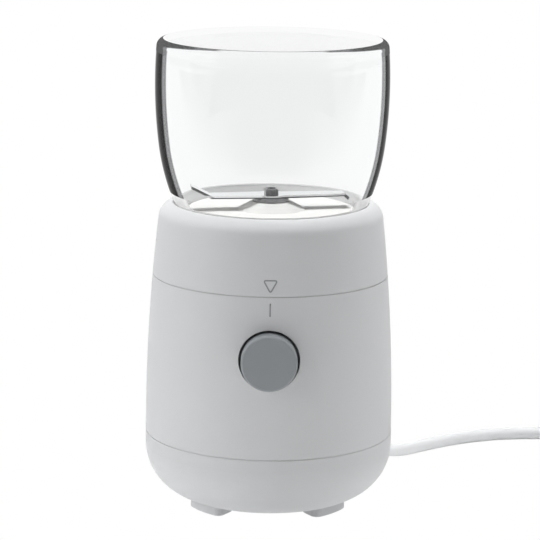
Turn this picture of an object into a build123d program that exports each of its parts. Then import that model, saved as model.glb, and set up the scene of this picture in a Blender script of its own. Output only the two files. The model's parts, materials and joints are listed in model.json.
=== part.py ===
from build123d import *
import os
from math import asin, cos, degrees, pi, radians, sin, sqrt, tan

import numpy as np

os.makedirs("parts", exist_ok=True)

# Outer form of the grinder, in millimetres: z = 0 is the table, the button faces -Y
body_radius = 52.5
side_arc_radius = 812.0
foot_height = 4.0
base_height = 27.3
housing_height = 67.7
collar_height = 30.3
jar_height = 68.7
base_corner_radius = 22.3
base_corner_height = 21.3
shoulder_radius = 6.8
shell_wall = 2.5
seam_gap = 0.4

# Clearances and the one overrun of all cuts
slip_gap = 0.2
seat_gap = 0.3
running_gap = 0.04
bond_gap = 0.02
root_depth = 0.8
overrun = 4.0

# Bottom cover
tongue_height = 3.0
tongue_wall = 1.2
vent_count = 12
vent_width = 2.4
vent_inner_radius = 9.0
vent_outer_radius = 22.0
cover_boss_radius = 5.0
cover_boss_height = 6.0
cover_screw_radius = 1.6
cover_screw_grip = 12.0
cover_head_radius = 3.0
cover_head_height = 2.2
cover_head_seat = 3.4

# Feet
foot_mid_radius = 31.0
foot_width = 11.0
foot_angle = 50.0
foot_half_angle = 17.0
foot_corner = 3.0
foot_edge = 0.8
foot_screw_angle = 48.0

# Deck with the bayonet spigot that carries the head
deck_drop = 6.0
deck_plate = 2.6
deck_rim_drop = 0.6
deck_rim_wall = 1.4
deck_hole_radius = 15.0
deck_hole_rim = 2.0
deck_hole_rim_height = 1.9
deck_ledge_height = 2.5
deck_ledge_depth = 2.6
deck_ledge_count = 4
deck_ledge_angle = 45.0
deck_ledge_half_angle = 11.0
deck_post_radius = 3.6
spigot_setback = 7.0
spigot_wall = 2.4
spigot_rise = 10.0
lug_depth = 4.4
lug_height = 3.0
lug_drop = 1.0
lug_half_angle = 14.0
bayonet_count = 3
bayonet_angle = 90.0
bayonet_ledge_height = 3.7

# Collar and grinding floor
lip_wall = 5.2
thread_room = 1.1
plateau_drop = 2.8
plateau_gap = 0.7
floor_wall = 2.5
seal_seat_depth = 12.3
flange_height = 2.5
boss_rise = 3.4
boss_top_radius = 8.0
boss_foot_radius = 14.5
hub_radius = 9.0
hub_lift = 12.0
rib_count = 6
rib_wall = 1.8
rib_height = 5.0
floor_screw_count = 3
floor_screw_angle = 30.0
floor_screw_radius = 1.1
floor_screw_grip = 6.0
floor_head_radius = 1.8
floor_head_height = 1.6
seal_height = 2.0

# Glass jar
jar_overhang = 2.4
jar_belly_drop = 19.0
jar_knee_drop = 44.2
jar_belly_arc = 205.0
jar_flare_arc = 95.0
jar_wall = 3.0
jar_top_wall = 2.6
jar_top_edge = 3.5
jar_inner_edge = 0.9
jar_rim_edge = 0.9
neck_wall = 4.1
jar_dish_radius = 28.0
jar_dish_depth = 0.5

# Blade and its spindle
blade_turn = 9.5
blade_thickness = 1.2
blade_left_reach = 34.0
blade_left_tip = 8.3
blade_left_rise = 4.2
blade_right_reach = 32.6
blade_right_tip = 2.0
blade_right_fall = 1.8
blade_root_width = 11.0
blade_tip_width = 7.0
blade_eye_radius = 6.6
blade_grind = 0.7
shaft_radius = 3.0
stud_radius = 2.0
hub_disc_radius = 7.5
hub_disc_height = 1.5
nut_width = 5.2
nut_height = 2.3
nut_edge = 0.5
bush_radius = 6.0
bush_length = 6.0
shaft_seal_height = 2.4
thrust_washer_radius = 7.0
thrust_washer_height = 0.8

# Dog coupling between motor and blade
coupling_radius = 12.5
coupling_disc = 3.5
dog_count = 3
dog_inner_radius = 5.8
dog_outer_radius = 11.8
dog_half_angle = 13.0
dog_height = 5.0
dog_end_gap = 1.5

# Motor, hung from the deck on two bolts through rubber mounts
bolt_spacing = 38.4
bolt_radius = 1.5
bolt_head_radius = 2.8
bolt_head_height = 2.4
mount_boss_radius = 4.6
mount_boss_height = 5.0
mount_height = 4.0
mount_radius = 4.4
bridge_height = 4.0
bridge_width = 15.0
bridge_boss_radius = 10.6
bridge_boss_lip = 1.0
bridge_leg_radius = 3.1
upper_leg = 5.0
lower_leg = 13.0
stator_length = 44.0
stator_depth = 42.0
stator_corner = 11.0
stator_height = 22.0
stator_window_length = 32.0
stator_window_depth = 35.0
stator_bore = 12.3
pole_width = 14.0
pole_shoe_wall = 1.6
pole_shoe_half_angle = 56.0
coil_width = 3.6
coil_gap = 0.4
bearing_radius = 8.0
bearing_height = 5.0
motor_shaft_radius = 2.5
armature_air_gap = 0.5
armature_slots = 12
armature_slot_width = 1.6
armature_slot_depth = 4.0
winding_rise = 2.6
winding_radius = 10.4
winding_inner_radius = 4.2
commutator_radius = 7.5
commutator_length = 7.6
commutator_slot_width = 0.5
commutator_slot_depth = 0.8
brush_width = 4.6
brush_length = 6.0
brush_gap = 0.2
brush_spring_length = 3.0
brush_spring_radius = 1.7
brush_spring_wire = 0.5
brush_spring_turns = 2
brush_holder_wall = 1.2
fan_radius = 25.0
fan_disc = 1.2
fan_height = 8.6
fan_hub_radius = 5.5
fan_vanes = 11
fan_vane_wall = 1.2
fan_vane_inner_radius = 9.0
fan_clearance = 1.0
shaft_tail = 2.0

# Push button and its switch
button_drop = 26.2
button_radius = 11.5
button_gap = 1.1
button_proud = 5.7
button_wall = 2.4
button_edge = 0.9
button_travel = 3.0
button_flange_depth = 2.3
button_flange_height = 1.6
button_stem_radius = 2.6
button_boss_wall = 2.2
button_boss_reach = 3.4
button_spring_radius = 6.0
button_spring_wire = 0.9
button_spring_turns = 5
carrier_gap = 1.2
carrier_plate = 2.0
carrier_length = 46.0
carrier_width = 16.0
carrier_corner = 4.0
carrier_hole_radius = 3.4
carrier_post_spacing = 39.0
carrier_post_radius = 3.2
carrier_screw_radius = 1.1
carrier_screw_grip = 4.0
carrier_head_radius = 2.2
carrier_head_height = 1.6
switch_length = 14.0
switch_width = 13.0
switch_depth = 10.0
switch_edge = 0.8
plunger_radius = 2.2
plunger_length = 6.4
plunger_proud = 1.5
terminal_width = 3.0
terminal_wall = 0.8
terminal_reach = 7.0
terminal_spacing = 7.0

# Interlock that feels whether the head is locked
interlock_setback = 4.7
interlock_angle = 154.0
interlock_travel = 3.0
interlock_headroom = 2.0
interlock_twist = 30.0
interlock_stem_radius = 1.7
interlock_flange_radius = 2.9
interlock_flange_height = 1.2
interlock_tail_radius = 1.2
interlock_tail_length = 6.4
interlock_guide_wall = 1.0
interlock_guide_length = 10.5
interlock_spring_radius = 2.2
interlock_spring_wire = 0.6
interlock_spring_turns = 2
interlock_switch_length = 12.0
interlock_switch_width = 7.0
interlock_switch_height = 9.0
ramp_run_in = 4.0
ramp_tab_wall = 2.6

# Mains cord, its relief and its plug
cord_radius = 2.8
outlet_angle = 45.0
outlet_slope = 15.0
outlet_height = 9.0
outlet_boss_radius = 8.0
outlet_boss_depth = 8.0
relief_length = 22.0
relief_root_radius = 4.9
relief_tip_radius = 3.7
relief_flange_radius = 6.6
relief_flange_height = 1.8
relief_rib_count = 5
relief_rib_width = 1.4
relief_rib_depth = 0.8
inner_cord_length = 11.5
arc_share = 0.45
cord_lead = 12.0
cord_route = [
    (67.0, 69.5, 2.85),
    (79.5, 79.8, 2.85),
    (95.0, 89.2, 2.85),
    (112.0, 94.6, 2.9),
    (130.0, 94.0, 3.3),
    (147.8, 93.6, 3.8),
    (165.1, 91.5, 3.8),
]
tail_lead = 14.5
tail_route = [
    (205.0, 82.5, 7.8),
    (217.5, 71.5, 6.2),
    (225.3, 57.0, 7.05),
    (230.0, 44.5, 7.05),
]
coil_first_radius = 36.0
coil_pitch = 6.2
coil_half_turns = 8
coil_rise = 6.2
tie_wall = 0.8
tie_width = 6.0
tie_corner = 2.0
tie_room = 1.0
plug_length = 35.0
plug_width = 35.3
plug_thickness = 13.7
plug_neck_radius = 4.4
plug_edge = 3.0
plug_taper_share = 0.6
pin_radius = 2.0
pin_length = 19.0
pin_spacing = 18.6
pin_edge = 0.8

# Heights worked out from the stack of pieces
base_seam_z = foot_height + base_height
head_seam_z = base_seam_z + housing_height
collar_top_z = head_seam_z + collar_height
jar_top_z = collar_top_z + jar_height
cover_top_z = base_seam_z - seam_gap / 2
cover_floor_z = foot_height + shell_wall
housing_bottom_z = base_seam_z + seam_gap / 2
housing_top_z = head_seam_z - seam_gap / 2
collar_bottom_z = head_seam_z + seam_gap / 2
deck_bottom_z = head_seam_z - deck_drop
deck_top_z = deck_bottom_z + deck_plate
spigot_top_z = head_seam_z + spigot_rise
lug_bottom_z = spigot_top_z - lug_drop - lug_height
bayonet_ledge_top_z = lug_bottom_z - seat_gap
bayonet_ledge_bottom_z = bayonet_ledge_top_z - bayonet_ledge_height
plateau_z = collar_top_z - plateau_drop
boss_top_z = plateau_z + boss_rise
seal_seat_z = collar_top_z - seal_seat_depth
hub_bottom_z = head_seam_z + hub_lift
jar_rim_z = seal_seat_z + seal_height + slip_gap
button_z = head_seam_z - button_drop


def side_radius(height, inset=0.0):
    """Radius of the body's bowed side at a height, or of a surface that lies inset inside it."""
    bow = sqrt((side_arc_radius - inset) ** 2 - (height - base_seam_z) ** 2)
    return body_radius - side_arc_radius + bow


def side_arc(low, high, inset=0.0):
    """The bowed side between two heights, drawn in the section's plane."""
    middle = (low + high) / 2
    ThreePointArc(
        (side_radius(low, inset), low),
        (side_radius(middle, inset), middle),
        (side_radius(high, inset), high),
    )


def ring_sector(inner, outer, middle_angle, half_angle):
    """A flat piece of ring about the body's axis."""
    with BuildSketch() as sector:
        with BuildLine():
            rim = CenterArc((0, 0), outer, middle_angle - half_angle, 2 * half_angle)
            bore = CenterArc((0, 0), inner, middle_angle - half_angle, 2 * half_angle)
            Line(rim @ 0, bore @ 0)
            Line(rim @ 1, bore @ 1)
        make_face()
    return sector.sketch


def around(radius, angle):
    """A point in plan at a distance and an angle from the body's axis."""
    return (radius * cos(radians(angle)), radius * sin(radians(angle)))


def four_angles(angle):
    """The angles in plan that lie as far to both sides of the front and of the back."""
    return [-90 - angle, -90 + angle, 90 - angle, 90 + angle]


def half_turn(start, end, heading):
    """A half circle from start to end that leaves along heading and comes back against it."""
    reach = (end - start).length / 2
    ThreePointArc(start, (start + end) / 2 + heading * reach, end)


def spring_path(foot, side, length, turns):
    """The line of a coil spring: half circles that each climb by an equal step.

    The foot's plane has the spring's axis as its normal, and side is the coil's radius."""
    heading = foot.y_dir
    across = foot.x_dir * side
    step = foot.z_dir * (length / (2 * turns))
    for index in range(2 * turns):
        sign = 1 if index % 2 == 0 else -1
        start = foot.origin + step * index - across * sign
        half_turn(start, foot.origin + step * (index + 1) + across * sign, heading * sign)


def least_gap(line, diameter, samples):
    """How near a wound tube comes to itself, away from the stretch around each point."""
    points = np.array([tuple(line @ (index / samples)) for index in range(samples + 1)])
    apart = np.linalg.norm(points[:, None, :] - points[None, :, :], axis=2)
    step = line.length / samples
    along = np.abs(np.subtract.outer(np.arange(samples + 1), np.arange(samples + 1))) * step
    return apart[along > 3 * diameter].min() - diameter


def route_radii(points):
    """The largest arc that each corner of a cord's route has room for."""
    radii = []
    for before, here, after in zip(points, points[1:], points[2:]):
        turn = radians((here - before).get_angle(after - here))
        run = min((here - before).length, (after - here).length)
        radii.append(arc_share * run / tan(turn / 2))
    return radii


# Bottom cover: a rounded dish with vents, screw bosses under the feet and the cord's outlet
corner_center_r = body_radius - base_corner_radius
corner_center_z = foot_height + base_corner_height
corner_center = (corner_center_r, corner_center_z)
outer_sweep = degrees(asin(base_corner_height / base_corner_radius))
inner_corner_radius = base_corner_radius - shell_wall
inner_sweep = degrees(asin((corner_center_z - cover_floor_z) / inner_corner_radius))
cover_bore = body_radius - shell_wall
foot_angles = four_angles(foot_angle)
foot_spots = [around(foot_mid_radius, angle) for angle in four_angles(foot_screw_angle)]
cover_boss_top_z = cover_floor_z + cover_boss_height
outlet_rise = outlet_height - base_corner_height
outlet_radius = corner_center_r + sqrt(base_corner_radius**2 - outlet_rise**2)
outlet_direction = Vector(*around(cos(radians(outlet_slope)), outlet_angle), -sin(radians(outlet_slope)))
outlet_point = Vector(*around(outlet_radius, outlet_angle), foot_height + outlet_height)
outlet_side = Vector(*around(1, outlet_angle + 90), 0)
outlet_plane = Plane(outlet_point, x_dir=outlet_side, z_dir=outlet_direction)

with BuildPart() as bottom_cover:
    with BuildSketch(outlet_plane.offset(-outlet_boss_depth)):
        Circle(outlet_boss_radius)
    extrude(amount=outlet_boss_depth + overrun)
    with Locations(*[(x, y, cover_floor_z) for x, y in foot_spots]):
        Cylinder(cover_boss_radius, cover_boss_height, align=(Align.CENTER, Align.CENTER, Align.MIN))
    with BuildSketch(Plane.XZ):
        with BuildLine():
            corner = CenterArc(corner_center, base_corner_radius, -outer_sweep, outer_sweep)
            Polyline(corner @ 1, (body_radius, cover_top_z), (0, cover_top_z), (0, foot_height), corner @ 0)
        make_face()
    revolve(axis=Axis.Z, mode=Mode.INTERSECT)
    with BuildSketch(Plane.XZ):
        with BuildLine():
            corner = CenterArc(corner_center, base_corner_radius, -outer_sweep, outer_sweep)
            inside = CenterArc(corner_center, inner_corner_radius, -inner_sweep, inner_sweep)
            Polyline(corner @ 1, (body_radius, cover_top_z), (cover_bore, cover_top_z), inside @ 1)
            Polyline(corner @ 0, (0, foot_height), (0, cover_floor_z), inside @ 0)
        make_face()
        with BuildLine():
            Polyline(
                (cover_bore - slip_gap - tongue_wall, cover_top_z - tongue_height),
                (cover_bore + root_depth, cover_top_z - tongue_height),
                (cover_bore + root_depth, cover_top_z),
                (cover_bore - slip_gap, cover_top_z),
                (cover_bore - slip_gap, cover_top_z + tongue_height),
                (cover_bore - slip_gap - tongue_wall, cover_top_z + tongue_height),
                close=True,
            )
        make_face()
    revolve(axis=Axis.Z)
    with BuildSketch(Plane.XY.offset(foot_height)):
        with PolarLocations((vent_inner_radius + vent_outer_radius) / 2, vent_count):
            SlotOverall(vent_outer_radius - vent_inner_radius, vent_width)
    extrude(amount=shell_wall, mode=Mode.SUBTRACT)
    with BuildSketch(Plane.XY.offset(foot_height)):
        with Locations(*foot_spots):
            Circle(cover_head_radius + slip_gap)
    extrude(amount=cover_head_seat + cover_head_height, mode=Mode.SUBTRACT)
    with BuildSketch(Plane.XY.offset(foot_height)):
        with Locations(*foot_spots):
            Circle(cover_screw_radius + slip_gap)
    extrude(amount=cover_boss_height + overrun, mode=Mode.SUBTRACT)
    with BuildSketch(outlet_plane.offset(-outlet_boss_depth)):
        Circle(relief_root_radius + slip_gap)
    extrude(amount=outlet_boss_depth + overrun, mode=Mode.SUBTRACT)

bottom_cover.part.label = "bottom_cover"
export_step(bottom_cover.part, "parts/bottom_cover.step")

# Feet: four curved pads under the cover, each hiding a screw
foot_inner_radius = foot_mid_radius - foot_width / 2
foot_outer_radius = foot_mid_radius + foot_width / 2
for number, angle in enumerate(foot_angles, 1):
    with BuildPart() as foot:
        with BuildSketch() as pad:
            add(ring_sector(foot_inner_radius, foot_outer_radius, angle, foot_half_angle))
            fillet(pad.vertices(), foot_corner)
        extrude(amount=foot_height)
        fillet(foot.faces().sort_by(Axis.Z)[0].edges(), foot_edge)
    foot.part.label = f"foot_{number}"
    export_step(foot.part, f"parts/foot_{number}.step")

# Cover screws: pan heads up inside the cover's bosses, shanks in the deck's posts
cover_head_top_z = foot_height + cover_head_seat + cover_head_height
with BuildPart() as cover_screws:
    with BuildSketch(Plane.XY.offset(cover_head_top_z - cover_head_height)):
        with Locations(*foot_spots):
            Circle(cover_head_radius)
    extrude(amount=cover_head_height)
    with BuildSketch(Plane.XY.offset(cover_head_top_z)):
        with Locations(*foot_spots):
            Circle(cover_screw_radius)
    extrude(amount=cover_boss_top_z - cover_head_top_z + cover_screw_grip)
cover_screws.part.label = "cover_screws"
export_step(cover_screws.part, "parts/cover_screws.step")

# Motor housing: the bowed tube with the button's guide ring, switch posts and the deck's ledges
button_hole_radius = button_radius + button_gap
button_wall_y = -side_radius(button_z, shell_wall)
button_boss_y = button_wall_y + button_boss_reach
button_flange_y = button_boss_y + seat_gap
button_flange_back_y = button_flange_y + button_flange_height
carrier_y = button_flange_back_y + button_travel + carrier_gap
carrier_spots = [(-carrier_post_spacing / 2, button_z), (carrier_post_spacing / 2, button_z)]
button_boss_plane = Plane((0, button_boss_y, 0), x_dir=(1, 0, 0), z_dir=(0, -1, 0))
carrier_plane = Plane((0, carrier_y, 0), x_dir=(1, 0, 0), z_dir=(0, -1, 0))
deck_radius = side_radius(head_seam_z, shell_wall) - slip_gap

with BuildPart() as motor_housing:
    with BuildSketch(button_boss_plane):
        with Locations((0, button_z)):
            Circle(button_hole_radius + button_boss_wall)
    extrude(amount=button_boss_reach + shell_wall)
    with BuildSketch(carrier_plane):
        with Locations(*carrier_spots):
            Circle(carrier_post_radius)
    extrude(amount=carrier_y - button_wall_y)
    for index in range(deck_ledge_count):
        with BuildSketch(Plane.XY.offset(deck_bottom_z - deck_ledge_height)):
            spot = deck_ledge_angle + index * 360 / deck_ledge_count
            ledge_bore = deck_radius - deck_ledge_depth
            add(ring_sector(ledge_bore, deck_radius + shell_wall, spot, deck_ledge_half_angle))
        extrude(amount=deck_ledge_height)
    with BuildSketch(Plane.XZ):
        with BuildLine():
            side_arc(housing_bottom_z, housing_top_z)
            Polyline(
                (side_radius(housing_bottom_z), housing_bottom_z),
                (0, housing_bottom_z),
                (0, housing_top_z),
                (side_radius(housing_top_z), housing_top_z),
            )
        make_face()
    revolve(axis=Axis.Z, mode=Mode.INTERSECT)
    with BuildSketch(Plane.XZ):
        with BuildLine():
            side_arc(housing_bottom_z, housing_top_z)
            side_arc(housing_bottom_z, housing_top_z, shell_wall)
            for height in (housing_bottom_z, housing_top_z):
                Line((side_radius(height, shell_wall), height), (side_radius(height), height))
        make_face()
    revolve(axis=Axis.Z)
    with BuildSketch(button_boss_plane):
        with Locations((0, button_z)):
            Circle(button_hole_radius)
    extrude(amount=button_boss_reach + shell_wall + overrun, mode=Mode.SUBTRACT)
    with BuildSketch(carrier_plane):
        with Locations(*carrier_spots):
            Circle(carrier_screw_radius + bond_gap)
    extrude(amount=carrier_screw_grip, mode=Mode.SUBTRACT)
motor_housing.part.label = "motor_housing"
export_step(motor_housing.part, "parts/motor_housing.step")

# Top deck: rests on the housing's ledges, ends in the bayonet spigot and carries motor and posts
spigot_radius = deck_radius - spigot_setback
interlock_radius = deck_radius - interlock_setback
interlock_spot = around(interlock_radius, interlock_angle)
interlock_guide_bore = interlock_flange_radius + seat_gap
bolt_spots = [(-bolt_spacing / 2, 0), (bolt_spacing / 2, 0)]
mount_boss_z = deck_bottom_z - mount_boss_height

with BuildPart() as top_deck:
    with BuildSketch(Plane.XZ):
        with BuildLine():
            Polyline(
                (deck_hole_radius, deck_bottom_z),
                (deck_radius, deck_bottom_z),
                (deck_radius, head_seam_z - deck_rim_drop),
                (deck_radius - deck_rim_wall, head_seam_z - deck_rim_drop),
                (deck_radius - deck_rim_wall, deck_top_z),
                (spigot_radius, deck_top_z),
                (spigot_radius, spigot_top_z),
                (spigot_radius - spigot_wall, spigot_top_z),
                (spigot_radius - spigot_wall, deck_top_z),
                (deck_hole_radius + deck_hole_rim, deck_top_z),
                (deck_hole_radius + deck_hole_rim, deck_top_z + deck_hole_rim_height),
                (deck_hole_radius, deck_top_z + deck_hole_rim_height),
                close=True,
            )
        make_face()
    revolve(axis=Axis.Z)
    for index in range(bayonet_count):
        with BuildSketch(Plane.XY.offset(lug_bottom_z)):
            spot = bayonet_angle + index * 360 / bayonet_count
            add(ring_sector(spigot_radius - root_depth, spigot_radius + lug_depth, spot, lug_half_angle))
        extrude(amount=lug_height)
    with BuildSketch(Plane.XY.offset(cover_boss_top_z)):
        with Locations(*foot_spots):
            Circle(deck_post_radius)
    extrude(amount=deck_bottom_z - cover_boss_top_z + root_depth)
    with BuildSketch(Plane.XY.offset(mount_boss_z)):
        with Locations(*bolt_spots):
            Circle(mount_boss_radius)
    extrude(amount=mount_boss_height + root_depth)
    with BuildSketch(Plane.XY.offset(deck_bottom_z - interlock_guide_length)):
        with Locations(interlock_spot):
            Circle(interlock_guide_bore + interlock_guide_wall)
    extrude(amount=interlock_guide_length + root_depth)
    with BuildSketch(Plane.XY.offset(deck_bottom_z - interlock_guide_length)):
        with Locations(interlock_spot):
            Circle(interlock_guide_bore)
    extrude(amount=interlock_guide_length, mode=Mode.SUBTRACT)
    with BuildSketch(Plane.XY.offset(deck_bottom_z)):
        with Locations(interlock_spot):
            Circle(interlock_stem_radius + slip_gap)
    extrude(amount=deck_plate, mode=Mode.SUBTRACT)
    with BuildSketch(Plane.XY.offset(cover_boss_top_z)):
        with Locations(*foot_spots):
            Circle(cover_screw_radius + bond_gap)
    extrude(amount=cover_screw_grip + seat_gap, mode=Mode.SUBTRACT)
    with BuildSketch(Plane.XY.offset(mount_boss_z)):
        with Locations(*bolt_spots):
            Circle(bolt_radius + bond_gap)
    extrude(amount=mount_boss_height, mode=Mode.SUBTRACT)
top_deck.part.label = "top_deck"
export_step(top_deck.part, "parts/top_deck.step")

# Ramp under the collar that lets the interlock pin rise as the head is turned to unlock
ramp_low_z = bayonet_ledge_bottom_z
ramp_middle = interlock_angle - interlock_twist / 2
ramp_half_angle = interlock_twist / 2 + ramp_run_in
ramp_run = interlock_radius * radians(interlock_twist)
ramp_point = Vector(*around(interlock_radius, ramp_middle), ramp_low_z + interlock_travel / 2)
ramp_along = Vector(*around(1, ramp_middle - 90), interlock_travel / ramp_run)
ramp_across = Vector(*around(1, ramp_middle), 0)
collar_skin_r = side_radius(bayonet_ledge_top_z, shell_wall) + root_depth
with BuildPart() as ramp_tab:
    with BuildSketch(Plane.XY.offset(ramp_low_z - overrun)):
        add(ring_sector(spigot_radius + seat_gap, collar_skin_r, ramp_middle, ramp_half_angle))
    extrude(amount=overrun + interlock_travel + ramp_tab_wall)
    split(bisect_by=Plane(ramp_point, x_dir=ramp_across, z_dir=ramp_along.cross(ramp_across)), keep=Keep.TOP)

# Collar: the upper ring of the body, with the jar's threaded bore and the bayonet ledges
collar_bore = side_radius(collar_top_z) - lip_wall
flange_radius = side_radius(seal_seat_z, shell_wall) - slip_gap
floor_screw_circle = (collar_bore + flange_radius) / 2
floor_screw_spots = [
    around(floor_screw_circle, floor_screw_angle + index * 360 / floor_screw_count)
    for index in range(floor_screw_count)
]
with BuildPart() as collar:
    with BuildSketch(Plane.XZ) as section:
        with BuildLine():
            side_arc(collar_bottom_z, collar_top_z)
            Polyline(
                (side_radius(collar_bottom_z), collar_bottom_z),
                (0, collar_bottom_z),
                (0, collar_top_z),
                (side_radius(collar_top_z), collar_top_z),
            )
        make_face()
        fillet(section.vertices().group_by(Axis.Y)[-1].sort_by(Axis.X)[-1], shoulder_radius)
    revolve(axis=Axis.Z)
    with BuildSketch(Plane.XZ):
        with BuildLine():
            side_arc(collar_bottom_z, seal_seat_z, shell_wall)
            Polyline(
                (side_radius(collar_bottom_z, shell_wall), collar_bottom_z),
                (0, collar_bottom_z),
                (0, collar_top_z),
                (collar_bore, collar_top_z),
                (collar_bore, seal_seat_z),
                (side_radius(seal_seat_z, shell_wall), seal_seat_z),
            )
        make_face()
    revolve(axis=Axis.Z, mode=Mode.SUBTRACT)
    for index in range(bayonet_count):
        with BuildSketch(Plane.XY.offset(bayonet_ledge_bottom_z)):
            spot = bayonet_angle + index * 360 / bayonet_count
            add(ring_sector(spigot_radius + seat_gap, collar_skin_r, spot, lug_half_angle))
        extrude(amount=bayonet_ledge_height)
    add(ramp_tab.part)
    with BuildSketch(Plane.XY.offset(seal_seat_z)):
        with Locations(*floor_screw_spots):
            Circle(floor_screw_radius + bond_gap)
    extrude(amount=floor_screw_grip, mode=Mode.SUBTRACT)
collar.part.label = "collar"
export_step(collar.part, "parts/collar.step")

# Grinding floor: the white dish under the jar, with the blade's hub and the seal's groove
neck_radius = collar_bore - thread_room
neck_bore = neck_radius - neck_wall
plateau_radius = neck_bore - plateau_gap
flange_bottom_z = seal_seat_z - flange_height
floor_underside_z = plateau_z - floor_wall
hub_bore = bush_radius + bond_gap
with BuildPart() as grinding_floor:
    with BuildSketch(Plane.XZ):
        with BuildLine():
            Polyline(
                (hub_bore, boss_top_z),
                (boss_top_radius, boss_top_z),
                (boss_foot_radius, plateau_z),
                (plateau_radius, plateau_z),
                (plateau_radius, seal_seat_z),
                (flange_radius, seal_seat_z),
                (flange_radius, flange_bottom_z),
                (plateau_radius - floor_wall, flange_bottom_z),
                (plateau_radius - floor_wall, floor_underside_z),
                (boss_foot_radius, floor_underside_z),
                (hub_radius, boss_top_z - floor_wall),
                (hub_radius, hub_bottom_z),
                (hub_bore, hub_bottom_z),
                close=True,
            )
        make_face()
    revolve(axis=Axis.Z)
    with BuildSketch(Plane.XY.offset(floor_underside_z - rib_height)):
        rib_reach = plateau_radius - floor_wall - hub_radius
        with PolarLocations(hub_radius + rib_reach / 2, rib_count):
            Rectangle(rib_reach + 2 * root_depth, rib_wall)
    extrude(amount=rib_height + root_depth)
    with BuildSketch(Plane.XY.offset(flange_bottom_z)):
        with Locations(*floor_screw_spots):
            Circle(floor_screw_radius + slip_gap)
    extrude(amount=flange_height, mode=Mode.SUBTRACT)
    plateau_rims = grinding_floor.edges().filter_by(GeomType.CIRCLE).filter_by(
        lambda edge: abs(edge.center().Z - plateau_z) < seam_gap and edge.radius > hub_radius + rib_wall
    )
    fillet(plateau_rims, root_depth)
grinding_floor.part.label = "grinding_floor"
export_step(grinding_floor.part, "parts/grinding_floor.step")

# Screws that hold the floor's flange up against the collar
with BuildPart() as floor_screws:
    with BuildSketch(Plane.XY.offset(flange_bottom_z - floor_head_height)):
        with Locations(*floor_screw_spots):
            Circle(floor_head_radius)
    extrude(amount=floor_head_height)
    with BuildSketch(Plane.XY.offset(flange_bottom_z)):
        with Locations(*floor_screw_spots):
            Circle(floor_screw_radius)
    extrude(amount=flange_height + floor_screw_grip - seat_gap)
floor_screws.part.label = "floor_screws"
export_step(floor_screws.part, "parts/floor_screws.step")

# Seal ring on the floor's groove, under the jar's rim
with BuildPart() as jar_seal:
    with BuildSketch(Plane.XY.offset(seal_seat_z)):
        Circle(collar_bore - slip_gap)
        Circle(plateau_radius + slip_gap, mode=Mode.SUBTRACT)
    extrude(amount=seal_height)
jar_seal.part.label = "jar_seal"
export_step(jar_seal.part, "parts/jar_seal.step")

# Glass jar, standing on its mouth: a belly arc and a flare arc that meet at the knee
jar_radius = side_radius(collar_top_z) + jar_overhang
belly_z = jar_top_z - jar_belly_drop
knee_z = jar_top_z - jar_knee_drop
belly_center_r = jar_radius - jar_belly_arc
knee_lean = asin((belly_z - knee_z) / jar_belly_arc)
flare_center_r = belly_center_r + (jar_belly_arc - jar_flare_arc) * cos(knee_lean)
flare_center_z = belly_z - (jar_belly_arc - jar_flare_arc) * sin(knee_lean)


def belly_radius(height, inset):
    """Radius of the jar's belly at a height, inset from its outer face."""
    return belly_center_r + sqrt((jar_belly_arc - inset) ** 2 - (height - belly_z) ** 2)


def flare_height(radius, inset):
    """Height at which the jar's flare comes in to a radius."""
    return flare_center_z - sqrt((jar_flare_arc - inset) ** 2 - (radius - flare_center_r) ** 2)


def jar_side(low_radius, top, inset):
    """The jar's side from the neck up to the top, through the knee, inset from its outer face."""
    knee = Vector(belly_center_r, belly_z) + Vector(cos(knee_lean), -sin(knee_lean)) * (jar_belly_arc - inset)
    low = Vector(low_radius, flare_height(low_radius, inset))
    lean = (asin((flare_center_z - low.Y) / (jar_flare_arc - inset)) + knee_lean) / 2
    bend = Vector(flare_center_r, flare_center_z) + Vector(cos(lean), -sin(lean)) * (jar_flare_arc - inset)
    ThreePointArc(low, bend, knee)
    middle = (knee.Y + top) / 2
    ThreePointArc(knee, (belly_radius(middle, inset), middle), (belly_radius(top, inset), top))


jar_inner_top_z = jar_top_z - jar_top_wall
with BuildPart() as glass_jar:
    with BuildSketch(Plane.XZ) as section:
        with BuildLine():
            jar_side(neck_radius, jar_top_z, 0)
            jar_side(neck_bore, jar_inner_top_z, jar_wall)
            Polyline((belly_radius(jar_top_z, 0), jar_top_z), (0, jar_top_z), (0, jar_inner_top_z))
            Line((0, jar_inner_top_z), (belly_radius(jar_inner_top_z, jar_wall), jar_inner_top_z))
            Polyline(
                (neck_radius, flare_height(neck_radius, 0)),
                (neck_radius, jar_rim_z),
                (neck_bore, jar_rim_z),
                (neck_bore, flare_height(neck_bore, jar_wall)),
            )
        make_face()
        fillet(section.vertices().group_by(Axis.Y)[-2].sort_by(Axis.X)[-1], jar_inner_edge)
        fillet(section.vertices().group_by(Axis.Y)[-1].sort_by(Axis.X)[-1], jar_top_edge)
        fillet(section.vertices().group_by(Axis.Y)[0], jar_rim_edge)
    revolve(axis=Axis.Z)
    with BuildSketch(Plane.XY.offset(jar_top_z - jar_dish_depth)):
        Circle(jar_dish_radius)
    extrude(amount=jar_dish_depth, taper=-45, mode=Mode.SUBTRACT)
glass_jar.part.label = "glass_jar"
export_step(glass_jar.part, "parts/glass_jar.step")

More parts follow.
